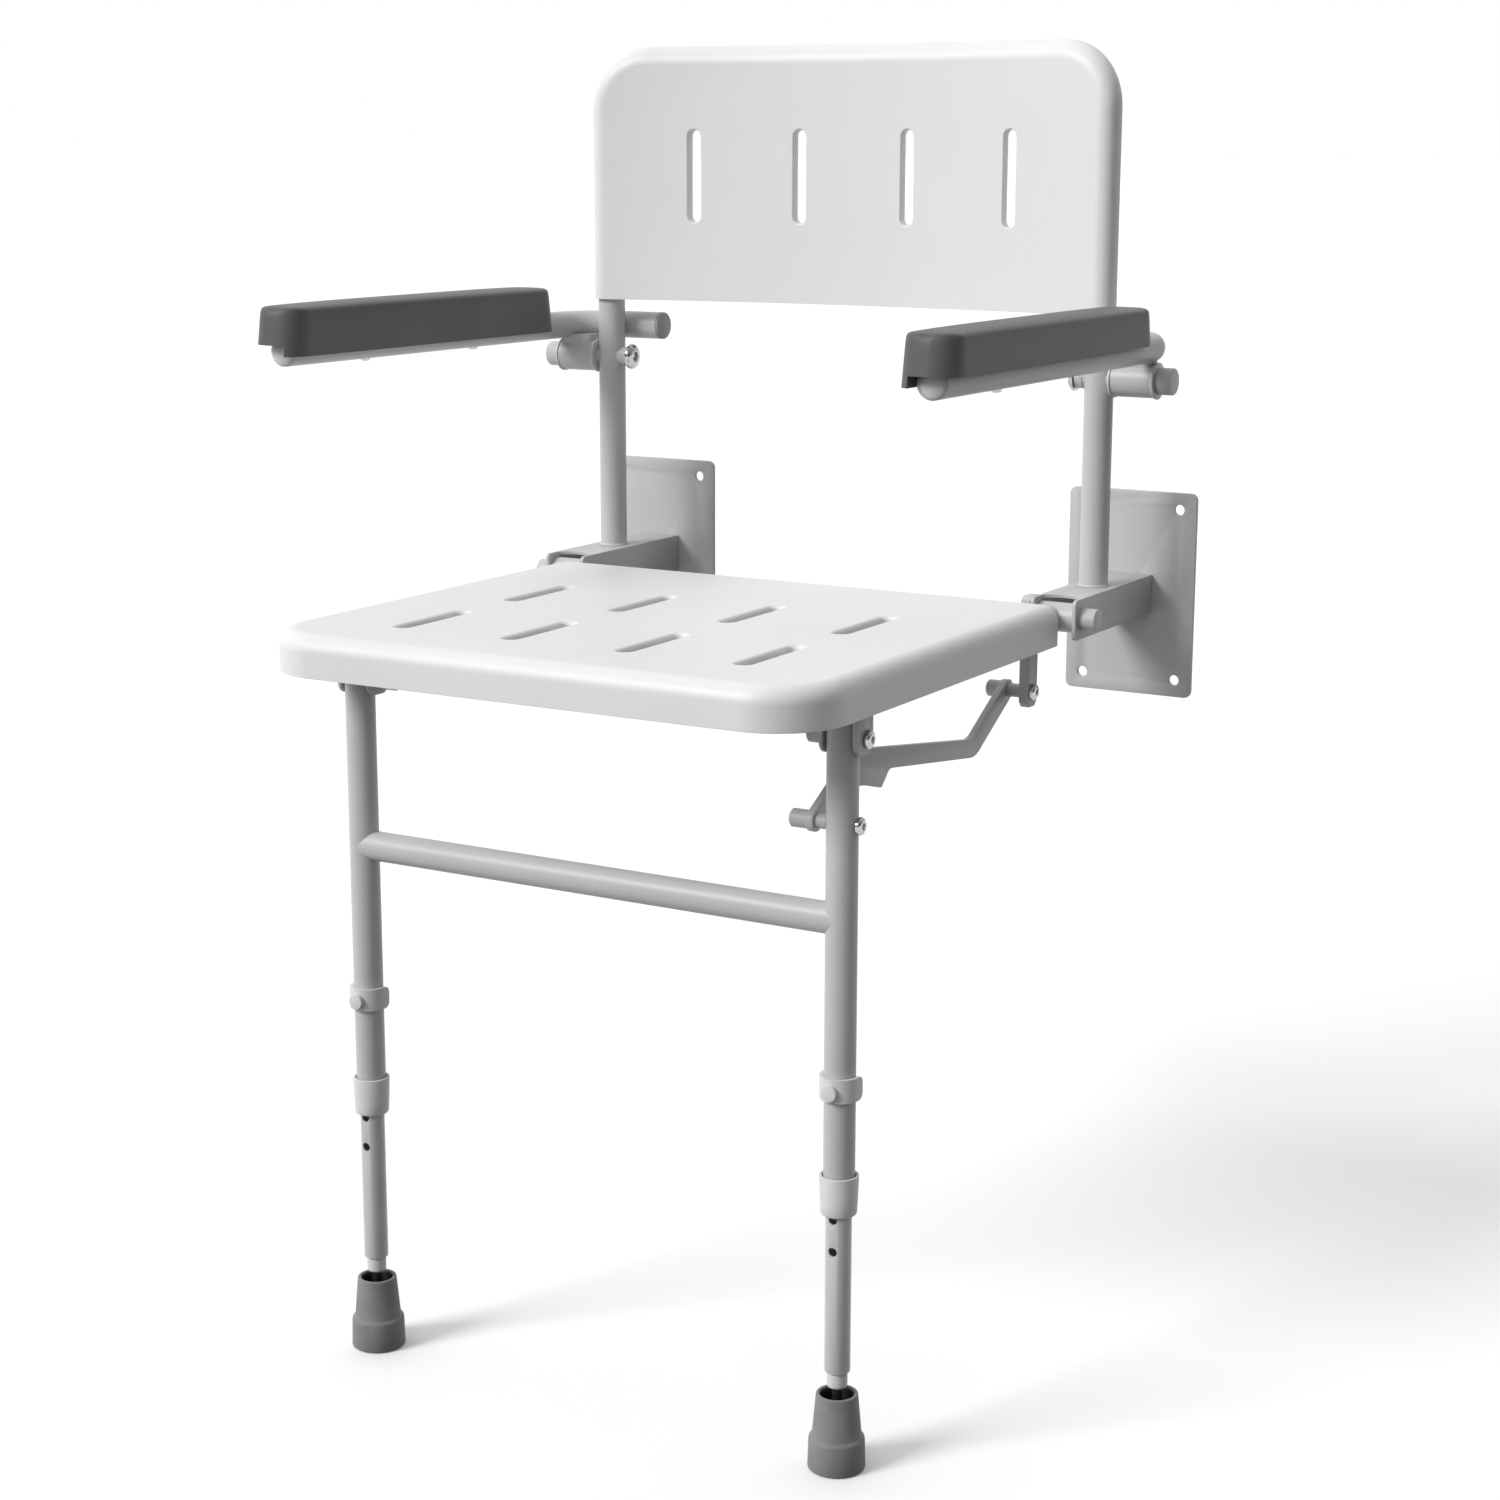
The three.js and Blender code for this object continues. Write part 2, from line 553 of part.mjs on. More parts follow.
// Rubber ferrule: a cone on a stepped foot, hollow above its floor.
function ferrule() {
  const { stemR, stemZ } = PLUG;
  return turnedZ([[FLOOR_Z, 0], [FLOOR_Z, 21.3], [FLOOR_Z + 1.5, 22.2], [FLOOR_Z + 24, 21.6],
    [FLOOR_Z + 26, 20.4], [FLOOR_Z + 26, 19.1], [-550, 16.2], [-548.6, 15.4], [-548.6, 13],
    [-574, 11.2], [-574, stemR + GAP], [stemZ - GAP, stemR + GAP], [stemZ - GAP, 0]], LEG.x, LEG.y);
}

// Slip-on clip: a band with two straight prongs open at the back, a button in front and a pin behind it.
function heightClip() {
  const { z, bandTop, bandBottom, r, pinR, prongY, buttonR } = CLIP;
  const inner = TUBE_R + GAP;
  const band = rodZ(r, bandBottom, bandTop, LEG.x, LEG.y, 16)
    .intersect(box(LEG.x - r, LEG.x + r, LEG.y - r - 1, LEG.y, bandBottom - 1, bandTop + 1))
    .add(box(LEG.x - r, LEG.x + r, LEG.y - 0.1, LEG.y + prongY, bandBottom, bandTop))
    .subtract(rodZ(inner, bandBottom - 1, bandTop + 1, LEG.x, LEG.y))
    .subtract(box(LEG.x - inner, LEG.x + inner, LEG.y, LEG.y + 30, bandBottom - 1, bandTop + 1));
  return band.add(rodY(buttonR, LEG.y - r - 3.2, LEG.y - inner, LEG.x, z))
    .add(rodY(pinR, LEG.y - r, LEG.y - INNER_LEG.r + 4, LEG.x, z, PIN_SIDES));
}

// ---- lift-up arms ----

// Arm tube that runs back over the pivot sleeve and turns inboard behind the post, where it is the stop.
function armTube() {
  const { x, z, frontY, backY, endX, bend } = ARM_TUBE;
  const at = (px, py) => new THREE.Vector3(px, py, z);
  const stations = [at(x, frontY), at(x, backY - bend - 30),
    ...bendStations(at(x, backY - bend), at(x, backY), at(x - bend, backY)), at(endX, backY)];
  const { r, x0, x1 } = ARM_SLEEVE;
  const sleeve = rodX(r, x0, x1, PIVOT.y, PIVOT.z);
  const weld = box(x0 + 6, x1 - 2, PIVOT.y - 8, PIVOT.y + 8, PIVOT.z + r - 4, z - TUBE_R + 1.5);
  return bentTube(stations, TUBE_R, TUBE_WALL).add(sleeve).add(weld)
    .subtract(rodX(AXLE_R + 2.3, x0 - 5, x1 + 5, PIVOT.y, PIVOT.z));
}

// Flanged plain bush in one end of the sleeve.
function armBush(outer) {
  const { x0, x1 } = ARM_SLEEVE;
  const bore = runningBore(AXLE_R);
  const outerR = AXLE_R + 2;
  const flangeR = ARM_SLEEVE.r + 0.8;
  const depth = 12;
  const flange = 2;
  if (outer) {
    return turnedX([[x1 - depth, bore], [x1 - depth, outerR], [x1 + GAP, outerR], [x1 + GAP, flangeR],
      [x1 + GAP + flange, flangeR], [x1 + GAP + flange, bore], [x1 - depth, bore]], PIVOT.y, PIVOT.z);
  }
  return turnedX([[x0 - GAP - flange, bore], [x0 - GAP - flange, flangeR], [x0 - GAP, flangeR],
    [x0 - GAP, outerR], [x0 + depth, outerR], [x0 + depth, bore], [x0 - GAP - flange, bore]],
  PIVOT.y, PIVOT.z);
}

// Axle through the post: a collar inboard, the sleeve's journal and a thick plain stub outboard.
function armAxle() {
  const post0 = SIDE_X - TUBE_R;
  const stub0 = ARM_SLEEVE.x1 + 2.7;
  const stub1 = AXLE_END.stubX;
  const { spacer, spacerR } = AXLE_END;
  return turnedX([[post0 - spacer, 0], [post0 - spacer, spacerR], [post0 - GAP, spacerR],
    [post0 - GAP, AXLE_R], [stub0, AXLE_R], [stub0, 11], [stub1 - 1, 11], [stub1, 10], [stub1, 0]], PIVOT.y, PIVOT.z)
    .subtract(rodX(4.2, post0 - 10, post0 + 20, PIVOT.y, PIVOT.z));
}

function armAxleScrew(side) {
  const post0 = SIDE_X - TUBE_R;
  const seat = -(post0 - AXLE_END.spacer - GAP);
  const solid = buttonScrew(1, seat, seat - 22, PIVOT.y, PIVOT.z, AXLE_END.screwR, 4, AXLE_END.screwHeight);
  return side > 0 ? solid.scale([-1, 1, 1]) : solid;
}

// Moulded pad that sits over the tube and its plug; its inboard skirt is the deeper one.
function armPad() {
  const { x0, x1, frontY, rearY, innerZ, outerZ, topZ, corner } = PAD;
  const grooveFront = ARM_TUBE.frontY - 5.5;
  const body = pillow(roundedRect(x0, x1, frontY, rearY, corner), innerZ - 30, topZ, 9, 4)
    .intersect(box(x0 - 5, x1 + 5, frontY - 5, rearY + 5, innerZ, topZ + 5));
  return body
    .subtract(box(ARM_TUBE.x - TUBE_R - GAP, x1 + 5, frontY - 5, rearY + 5, innerZ - 5, outerZ))
    .subtract(rodY(TUBE_R + GAP, grooveFront, rearY + 20, ARM_TUBE.x, ARM_TUBE.z));
}

// Domed plug in the front end of the arm tube.
function armFrontPlug() {
  const y = ARM_TUBE.frontY - GAP;
  const shankR = TUBE_R - TUBE_WALL - 0.5;
  const points = [new THREE.Vector2(0, -14), new THREE.Vector2(shankR, -14), new THREE.Vector2(shankR, 0),
    new THREE.Vector2(TUBE_R - 0.3, 0)];
  for (let i = 1; i <= 3; i += 1) {
    const turn = (i / 4) * Math.PI / 2;
    points.push(new THREE.Vector2((TUBE_R - 0.3) * Math.cos(turn), 4.5 * Math.sin(turn)));
  }
  points.push(new THREE.Vector2(0, 4.5));
  const geometry = new THREE.LatheGeometry(points, PIN_SIDES);
  geometry.rotateX(Math.PI);
  geometry.translate(ARM_TUBE.x, y, ARM_TUBE.z);
  return outward(geometry);
}

// Flat cap in the inboard end of the arm tube.
function armRearCap() {
  const x = ARM_TUBE.endX - GAP;
  const shankR = TUBE_R - TUBE_WALL - 0.5;
  return turnedX([[x + 12, 0], [x + 12, shankR], [x, shankR], [x, TUBE_R], [x - 2, TUBE_R],
    [x - 3, TUBE_R - 1], [x - 3, 0]], ARM_TUBE.backY, ARM_TUBE.z);
}

// ---- assembly ----

add('back_hoop', backHoop(), POWDER_COAT);
add('backrest', backPanel(), WHITE_MOULDING);
add('seat_shell', seatShell(), WHITE_MOULDING);
CROSS_Y.forEach((y, i) => add(`seat_cross_tube_${i ? 'front' : 'rear'}`, crossTube(y), POWDER_COAT));
add('leg_crossbar', crossbar(), POWDER_COAT);

for (const [side, end] of [[-1, 'left'], [1, 'right']]) {
  const put = (name, solid, material) => add(`${name}_${end}`, mirrored(side, solid), material);
  put('wall_plate', wallPlate(), POWDER_COAT);
  put('wall_arm', wallArm(), POWDER_COAT);
  put('hinge_pin', hingePin(), POWDER_COAT);
  put('seat_rail', seatRail(), POWDER_COAT);
  put('leg_bracket', legBracket(), POWDER_COAT);
  put('leg_pivot_pin', stubPin(LEG.x - 32, LEG.x - BRACKET.outer - GAP, LEG.x + 8, null, LEG_PIVOT.y,
    LEG_PIVOT.z), POWDER_COAT);
  add(`leg_pivot_screw_${end}`,
    buttonScrew(side, LEG.x + BRACKET.outer + GAP, LEG.x + 8.5, LEG_PIVOT.y, LEG_PIVOT.z), CHROME);
  put('outer_leg', outerLeg(side > 0), POWDER_COAT);
  put('leg_collar', legCollar(), OFF_WHITE_PLASTIC);
  put('inner_leg', innerLeg(), POWDER_COAT);
  put('leg_plug', legPlug(), OFF_WHITE_PLASTIC);
  put('ferrule', ferrule(), GREY_RUBBER);
  put('height_clip', heightClip(), OFF_WHITE_PLASTIC);
  put('arm_tube', armTube(), POWDER_COAT);
  put('arm_bush_inner', armBush(false), OFF_WHITE_PLASTIC);
  put('arm_bush_outer', armBush(true), OFF_WHITE_PLASTIC);
  put('arm_axle', armAxle(), POWDER_COAT);
  add(`arm_axle_screw_${end}`, armAxleScrew(side), CHROME);
  put('arm_pad', armPad(), GREY_PAD);
  put('arm_front_plug', armFrontPlug(), OFF_WHITE_PLASTIC);
  put('arm_rear_cap', armRearCap(), END_CAP);
}

// The folding linkage is on the right-hand side only.
const linkInner = LINK_X - LINK_THICK / 2 - GAP;
const linkOuter = LINK_X + LINK_THICK / 2 + GAP;
const armInner = SIDE_X - ARM.width / 2;
add('drop_bar', dropBar(), POWDER_COAT);
add('link_rear_pin', stubPin(linkInner - 12.5, linkInner, armInner - 8,
  [linkOuter, armInner - DROP_BAR.thick - 2 * GAP, 5.6], LINK_REAR.y, LINK_REAR.z), POWDER_COAT);
add('link_rear_screw', buttonScrew(1, armInner, armInner - 7.4, LINK_REAR.y, LINK_REAR.z), CHROME);
add('link_front_pin', stubPin(linkInner - 15, linkInner, LEG.x + 5,
  [linkOuter, LEG.x - TUBE_R - GAP, 5.6], LINK_FRONT.y, LINK_FRONT.z), POWDER_COAT);
add('link_front_screw',
  buttonScrew(1, LEG.x + TUBE_R + GAP, LEG.x + 5.5, LINK_FRONT.y, LINK_FRONT.z), CHROME);
add('fold_link', foldLink(), POWDER_COAT);

export default group;
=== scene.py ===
"""Wall-mounted folding shower seat: the fine pieces and finishes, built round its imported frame.

Lengths in this file are millimetres until a mesh is made; Blender's own are metres.
"""

import contextlib
import math

import bpy
from mathutils import Matrix, Vector


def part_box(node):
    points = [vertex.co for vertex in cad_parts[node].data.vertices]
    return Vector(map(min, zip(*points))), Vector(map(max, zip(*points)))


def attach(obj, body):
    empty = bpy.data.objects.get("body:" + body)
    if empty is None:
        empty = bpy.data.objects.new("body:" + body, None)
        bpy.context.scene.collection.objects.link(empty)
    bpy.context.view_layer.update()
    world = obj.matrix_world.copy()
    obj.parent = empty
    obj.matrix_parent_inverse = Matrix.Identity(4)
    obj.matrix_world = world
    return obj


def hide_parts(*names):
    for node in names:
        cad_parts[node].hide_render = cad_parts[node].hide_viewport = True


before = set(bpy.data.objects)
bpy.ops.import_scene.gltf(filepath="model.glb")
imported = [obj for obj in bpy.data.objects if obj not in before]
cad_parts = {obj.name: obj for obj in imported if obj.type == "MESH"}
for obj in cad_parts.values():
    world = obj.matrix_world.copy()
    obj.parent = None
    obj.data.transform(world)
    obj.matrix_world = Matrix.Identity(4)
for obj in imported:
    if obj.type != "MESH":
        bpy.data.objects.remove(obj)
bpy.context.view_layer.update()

MM = 0.001
ROUND = 56  # sides of a tube
SMALL_ROUND = 36  # sides of a pin, a bolt or a hole
TUBE_R = 12.0  # posts, legs and arms
AIR = 0.3  # between two pieces that touch
PLUG_NECK_Z = -543.5  # lower end of the leg plug's neck


# ---- working by hand in code ----


def clear_selection():
    if bpy.context.mode != "OBJECT":
        bpy.ops.object.mode_set(mode="OBJECT")
    bpy.ops.object.select_all(action="DESELECT")


def choose(piece):
    clear_selection()
    piece.select_set(True)
    bpy.context.view_layer.objects.active = piece


@contextlib.contextmanager
def editing(piece):
    choose(piece)
    bpy.ops.object.mode_set(mode="EDIT")
    bpy.ops.mesh.select_mode(type="VERT")
    bpy.ops.mesh.select_all(action="SELECT")
    yield
    bpy.ops.object.mode_set(mode="OBJECT")


def pick_edges(piece, wanted):
    """In edit mode, leaves only those edges selected whose two ends, in mm, pass the test."""
    bpy.ops.mesh.select_mode(type="EDGE")
    bpy.ops.mesh.select_all(action="DESELECT")
    bpy.ops.object.mode_set(mode="OBJECT")
    points = [v.co / MM for v in piece.data.vertices]
    for edge in piece.data.edges:
        edge.select = wanted(points[edge.vertices[0]], points[edge.vertices[1]])
    bpy.ops.object.mode_set(mode="EDIT")


def settle_mesh(piece):
    """Puts the piece's place into its mesh, so that its object sits at the origin."""
    choose(piece)
    bpy.ops.object.transform_apply(location=True, rotation=True, scale=True)


def face_out(piece):
    with editing(piece):
        bpy.ops.mesh.remove_doubles(threshold=0.002 * MM)
        bpy.ops.mesh.normals_make_consistent(inside=False)


def apply_modifier(piece, kind, **settings):
    choose(piece)
    modifier = piece.modifiers.new(kind.lower(), kind)
    for name, value in settings.items():
        setattr(modifier, name, value)
    bpy.ops.object.modifier_apply(modifier=modifier.name)


def soften(piece, width, segments=3, angle=35):
    """Rounds every edge sharper than the angle, then shades the piece smooth between sharp edges."""
    if width:
        apply_modifier(piece, "BEVEL", width=width * MM, segments=segments, limit_method="ANGLE",
                       angle_limit=math.radians(angle))
    smooth(piece)


def smooth(piece, angle=38):
    choose(piece)
    bpy.ops.object.shade_smooth_by_angle(angle=math.radians(angle))


def combine(piece, tool, operation):
    """Joins the tool to the piece, or cuts it away, and removes the tool."""
    apply_modifier(piece, "BOOLEAN", operation=operation, object=tool, solver="EXACT")
    bpy.data.objects.remove(tool)


def add_on(piece, *others):
    for other in others:
        combine(piece, other, "UNION")
    return piece


def cut(piece, *tools):
    for tool in tools:
        combine(piece, tool, "DIFFERENCE")
    return piece


def block(x0, x1, y0, y1, z0, z1):
    clear_selection()
    centre = ((x0 + x1) / 2 * MM, (y0 + y1) / 2 * MM, (z0 + z1) / 2 * MM)
    size = ((x1 - x0) * MM, (y1 - y0) * MM, (z1 - z0) * MM)
    bpy.ops.mesh.primitive_cube_add(size=1, location=centre, scale=size)
    piece = bpy.context.object
    settle_mesh(piece)
    return piece


TURN_TO = {"X": (0, math.pi / 2, 0), "Y": (-math.pi / 2, 0, 0), "Z": (0, 0, 0)}


def turned(stations, axis, centre, sides=SMALL_ROUND, ring=False):
    """A turned piece: (place along the axis, radius) from end to end, capped, or closed on itself as a ring.

    centre is any point on the axis, in mm.
    """
    start, radius = stations[0]
    clear_selection()
    bpy.ops.mesh.primitive_circle_add(vertices=sides, radius=radius * MM, location=(0, 0, start * MM))
    piece = bpy.context.object
    with editing(piece):
        for (place, before), (following, after) in zip(stations, stations[1:]):
            step = (0, 0, (following - place) * MM)
            bpy.ops.mesh.extrude_region_move(TRANSFORM_OT_translate={"value": step})
            ratio = after / before
            bpy.ops.transform.resize(value=(ratio, ratio, 1), center_override=(0, 0, following * MM))
        bpy.ops.mesh.select_all(action="SELECT")
        if ring:
            bpy.ops.mesh.remove_doubles(threshold=0.002 * MM)
        else:
            bpy.ops.mesh.fill_holes(sides=0)
    settle_mesh(piece)
    off_axis = [0 if name == axis else value * MM for name, value in zip("XYZ", centre)]
    piece.rotation_euler = TURN_TO[axis]
    piece.location = off_axis
    settle_mesh(piece)
    face_out(piece)
    return piece


def bar(axis, low, high, radius, centre, sides=SMALL_ROUND):
    return turned([(low, radius), (high, radius)], axis, centre, sides)


def tube(axis, low, high, radius, bore, centre, sides=ROUND):
    return turned([(low, radius), (high, radius), (high, bore), (low, bore), (low, radius)], axis, centre,
                  sides, ring=True)


def arc(u, v, radius, start, end, steps=10):
    """Points of an arc round (u, v), from one angle to the other in degrees."""
    turns = [math.radians(start + (end - start) * i / steps) for i in range(steps + 1)]
    return [(u + radius * math.cos(t), v + radius * math.sin(t)) for t in turns]


def plate(outline, low, high):
    """A flat piece with its outline in (y, z), from x = low to x = high."""
    clear_selection()
    bpy.ops.mesh.primitive_circle_add(vertices=len(outline), radius=1, fill_type="NGON")
    piece = bpy.context.object
    for vertex, (y, z) in zip(piece.data.vertices, outline):
        vertex.co = (low * MM, y * MM, z * MM)
    with editing(piece):
        bpy.ops.mesh.extrude_region_move(TRANSFORM_OT_translate={"value": ((high - low) * MM, 0, 0)})
    face_out(piece)
    return piece


def bent_tube(route, radius):
    """A round tube along a route of points."""
    clear_selection()
    bpy.ops.curve.primitive_bezier_curve_add()
    piece = bpy.context.object
    piece.data.splines.clear()
    line = piece.data.splines.new("POLY")
    line.points.add(len(route) - 1)
    for point, place in zip(line.points, route):
        point.co = (*(value * MM for value in place), 1)
    piece.data.bevel_depth = radius * MM
    piece.data.bevel_resolution = ROUND // 4 - 1
    piece.data.use_fill_caps = True
    bpy.ops.object.convert(target="MESH")
    piece = bpy.context.object
    settle_mesh(piece)
    face_out(piece)
    return piece


def from_frame(node):
    """A copy of a flat CAD piece, with its loose triangles merged into whole faces."""
    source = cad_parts[node]
    piece = bpy.data.objects.new("copy", source.data.copy())
    bpy.context.scene.collection.objects.link(piece)
    piece.data.materials.clear()
    with editing(piece):
        bpy.ops.mesh.remove_doubles(threshold=0.002 * MM)
        bpy.ops.mesh.customdata_custom_splitnormals_clear()
        bpy.ops.mesh.dissolve_limited(angle_limit=math.radians(0.5))
    return piece


def span(node):
    """Lowest and highest corner of a CAD node, in mm."""
    low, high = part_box(node)
    return low / MM, high / MM


def middle(node):
    low, high = span(node)
    return (low + high) / 2


# ---- finishes ----


class Value:
    """A number that changes over a surface: the operators add Math nodes."""

    def __init__(self, finish, socket):
        self.finish = finish
        self.socket = socket

    def _math(self, operation, first, second):
        return self.finish.node("ShaderNodeMath", {"operation": operation}, {0: first, 1: second})

    def __add__(self, other):
        return self._math("ADD", self, other)

    def __sub__(self, other):
        return self._math("SUBTRACT", self, other)

    def __mul__(self, other):
        return self._math("MULTIPLY", self, other)

    def __rsub__(self, other):
        return self._math("SUBTRACT", other, self)

    __radd__ = __add__
    __rmul__ = __mul__


class Finish:
    """A node material on Object coordinates."""

    def __init__(self, name, **uniform):
        self.material = bpy.data.materials.new(name)
        self.material.use_nodes = True
        self.tree = self.material.node_tree
        self.surface = self.tree.nodes["Principled BSDF"]
        for socket, value in uniform.items():
            self.surface.inputs[socket.replace("_", " ")].default_value = value
        self.place = self.node("ShaderNodeTexCoord", {}, {}, "Object")

    def node(self, kind, settings, inputs, output=0):
        """Adds a node: its settings first, then the values or links of its sockets."""
        node = self.tree.nodes.new(kind)
        for name, value in settings.items():
            if name == "stops":
                for stop, (position, shade) in zip(node.color_ramp.elements, value):
                    stop.position = position
                    stop.color = (shade, shade, shade, 1)
            else:
                setattr(node, name, value)
        for name, value in inputs.items():
            if isinstance(value, Value):
                self.tree.links.new(value.socket, node.inputs[name])
            else:
                node.inputs[name].default_value = value
        return Value(self, node.outputs[output])

    def noise(self, scale, detail=3.0, roughness=0.5, stretch=(1, 1, 1)):
        place = self.node("ShaderNodeMapping", {}, {"Vector": self.place, "Scale": stretch})
        return self.node("ShaderNodeTexNoise", {}, {"Vector": place, "Scale": scale, "Detail": detail,
                                                    "Roughness": roughness})

    def cells(self, scale, feature="F1"):
        return self.node("ShaderNodeTexVoronoi", {"feature": feature}, {"Vector": self.place, "Scale": scale},
                         "Distance")

    def ramp(self, value, low, high):
        """0 below low and 1 above high, smooth between."""
        return self.node("ShaderNodeMapRange", {"interpolation_type": "SMOOTHSTEP"},
                         {"Value": value, "From Min": low, "From Max": high})

    def height(self):
        return self.node("ShaderNodeSeparateXYZ", {}, {"Vector": self.place}, "Z")

    def radius(self, place):
        """Distance from the nearer of two upright lines, at +x and -x."""
        parts = self.node("ShaderNodeSeparateXYZ", {}, {"Vector": self.place}, 0)
        across = self.node("ShaderNodeMath", {"operation": "ABSOLUTE"}, {0: parts}) - place[0] * MM
        along = self.node("ShaderNodeSeparateXYZ", {}, {"Vector": self.place}, 1) - place[1] * MM
        return self.node("ShaderNodeMath", {"operation": "SQRT"}, {0: across * across + along * along})

    def colours(self, mask, first, second):
        return self.node("ShaderNodeMix", {"data_type": "RGBA"},
                         {"Factor": mask, 6: (*first, 1), 7: (*second, 1)}, 2)

    def paint(self, colour=None, roughness=None, relief=None, strength=0.2, depth=0.1, metallic=None):
        """Links what changes over the surface: colour, roughness and a relief of the given depth in mm."""
        links = {"Base Color": colour, "Roughness": roughness, "Metallic": metallic}
        if relief is not None:
            links["Normal"] = self.node("ShaderNodeBump", {}, {"Strength": strength, "Distance": depth * MM,
                                                               "Height": relief})
        for name, value in links.items():
            if value is not None:
                self.tree.links.new(value.socket, self.surface.inputs[name])
        return self.material


def powder_coat():
    """Light silver-grey powder coat with a fine orange peel and a faint change of tone."""
    finish = Finish("powder_coat_grey", Specular_IOR_Level=0.45, Coat_Weight=0.05, Coat_Roughness=0.25)
    peel = finish.noise(760, 2.0)
    speck = finish.noise(2600, 1.0)
    patch = finish.noise(9, 3.0)
    shade = finish.ramp(patch * 0.7 + speck * 0.3, 0.3, 0.72)
    return finish.paint(
        colour=finish.colours(shade, (0.47, 0.475, 0.48), (0.52, 0.523, 0.527)),
        roughness=peel * 0.16 + patch * 0.1 + 0.32,
        relief=peel * 0.75 + speck * 0.25, strength=0.22, depth=0.09)


def sliding_coat():
    """The same coat on the inner legs, dulled in fine upright scuffs where they slide."""
    finish = Finish("sliding_leg_coat", Specular_IOR_Level=0.5, Coat_Weight=0.1, Coat_Roughness=0.25)
    peel = finish.noise(760, 2.0)
    scuff = finish.ramp(finish.noise(420, 3.0, 0.6, (1, 1, 0.035)), 0.55, 0.72)
    patch = finish.noise(11, 3.0)
    shade = finish.ramp(patch, 0.3, 0.7)
    coat = finish.colours(shade, (0.47, 0.475, 0.48), (0.515, 0.52, 0.525))
    worn = finish.node("ShaderNodeMix", {"data_type": "RGBA"},
                       {"Factor": scuff * 0.35, 6: coat, 7: (0.56, 0.565, 0.57, 1)}, 2)
    return finish.paint(colour=worn, roughness=peel * 0.14 + scuff * 0.14 + 0.28, relief=peel - scuff * 0.4,
                        strength=0.2, depth=0.08)


def white_moulding():
    """Satin white moulded plastic with a very fine spark-eroded texture."""
    finish = Finish("white_moulded_plastic", Specular_IOR_Level=0.5, Subsurface_Weight=0.04,
                    Subsurface_Scale=0.004)
    grain = finish.noise(1500, 2.0)
    pits = finish.cells(900)
    patch = finish.noise(5, 3.0)
    return finish.paint(
        colour=finish.colours(finish.ramp(patch, 0.3, 0.7), (0.715, 0.715, 0.71), (0.745, 0.745, 0.74)),
        roughness=grain * 0.12 + patch * 0.08 + 0.36,
        relief=grain * 0.6 + pits * 0.4, strength=0.12, depth=0.06)


def pale_plastic():
    """Off-white moulded plastic of the clips, collars and bushes."""
    finish = Finish("pale_moulded_plastic", Specular_IOR_Level=0.5)
    grain = finish.noise(1300, 2.0)
    patch = finish.noise(40, 2.0)
    return finish.paint(
        colour=finish.colours(finish.ramp(patch, 0.3, 0.7), (0.60, 0.605, 0.605), (0.66, 0.66, 0.655)),
        roughness=grain * 0.14 + 0.33, relief=grain, strength=0.12, depth=0.05)


def spigot_plastic():
    """The leg plug: off-white neck above, black stem below it."""
    finish = Finish("leg_plug_plastic", Specular_IOR_Level=0.4)
    grain = finish.noise(1300, 2.0)
    neck = finish.ramp(finish.height(), (PLUG_NECK_Z - 0.6) * MM, (PLUG_NECK_Z - 0.1) * MM)
    return finish.paint(colour=finish.colours(neck, (0.012, 0.012, 0.013), (0.63, 0.632, 0.632)),
                        roughness=grain * 0.14 + 0.4, relief=grain, strength=0.12, depth=0.05)


def soft_skin():
    """Dark grey foam skin of the arm pads: a fine pebbled grain, soft and slightly dull."""
    finish = Finish("dark_grey_foam_skin", Specular_IOR_Level=0.45, Sheen_Weight=0.08, Sheen_Roughness=0.5)
    pebble = finish.cells(620, "SMOOTH_F1")
    fine = finish.noise(1700, 2.0)
    patch = finish.noise(14, 4.0)
    return finish.paint(
        colour=finish.colours(finish.ramp(patch, 0.25, 0.75), (0.070, 0.064, 0.066), (0.088, 0.081, 0.083)),
        roughness=pebble * 0.16 + patch * 0.1 + 0.40,
        relief=pebble * 0.8 + fine * 0.2, strength=0.3, depth=0.14)


def foot_rubber():
    """Mid grey rubber, matt and a little patchy, with painted shade inside its mouth: nearly black there."""
    finish = Finish("grey_rubber", Specular_IOR_Level=0.35)
    grain = finish.noise(900, 3.0)
    patch = finish.noise(60, 3.0)
    # painted shade: inside the mouth's radius the rubber is painted nearly black, standing in for the shade
    # in the hollow
    clear_of_mouth_shade = finish.ramp(finish.radius(FOOT_PLACE), 12.7 * MM, 13.4 * MM)
    skin = finish.colours(finish.ramp(patch, 0.3, 0.75), (0.195, 0.196, 0.2), (0.235, 0.236, 0.24))
    colour = finish.node("ShaderNodeMix", {"data_type": "RGBA"},
                         {"Factor": clear_of_mouth_shade, 6: (0.01, 0.01, 0.01, 1), 7: skin}, 2)
    return finish.paint(colour=colour, roughness=grain * 0.16 + patch * 0.1 + 0.5,
                        relief=grain, strength=0.25, depth=0.1)


def bright_chrome():
    """Chromed steel with faint turning lines."""
    finish = Finish("bright_chrome", Metallic=1.0)
    lines = finish.noise(900, 2.0)
    patch = finish.noise(160, 3.0)
    return finish.paint(colour=finish.colours(patch, (0.46, 0.46, 0.47), (0.56, 0.56, 0.57)),
                        roughness=patch * 0.08 + 0.05, relief=lines, strength=0.06, depth=0.03)


def cap_plastic():
    """Mid grey moulded plastic of the arm tube's end caps."""
    finish = Finish("grey_cap_plastic", Specular_IOR_Level=0.5)
    grain = finish.noise(1100, 2.0)
    patch = finish.noise(50, 2.0)
    return finish.paint(
        colour=finish.colours(finish.ramp(patch, 0.3, 0.7), (0.27, 0.272, 0.276), (0.32, 0.322, 0.326)),
        roughness=grain * 0.15 + 0.4, relief=grain, strength=0.15, depth=0.06)


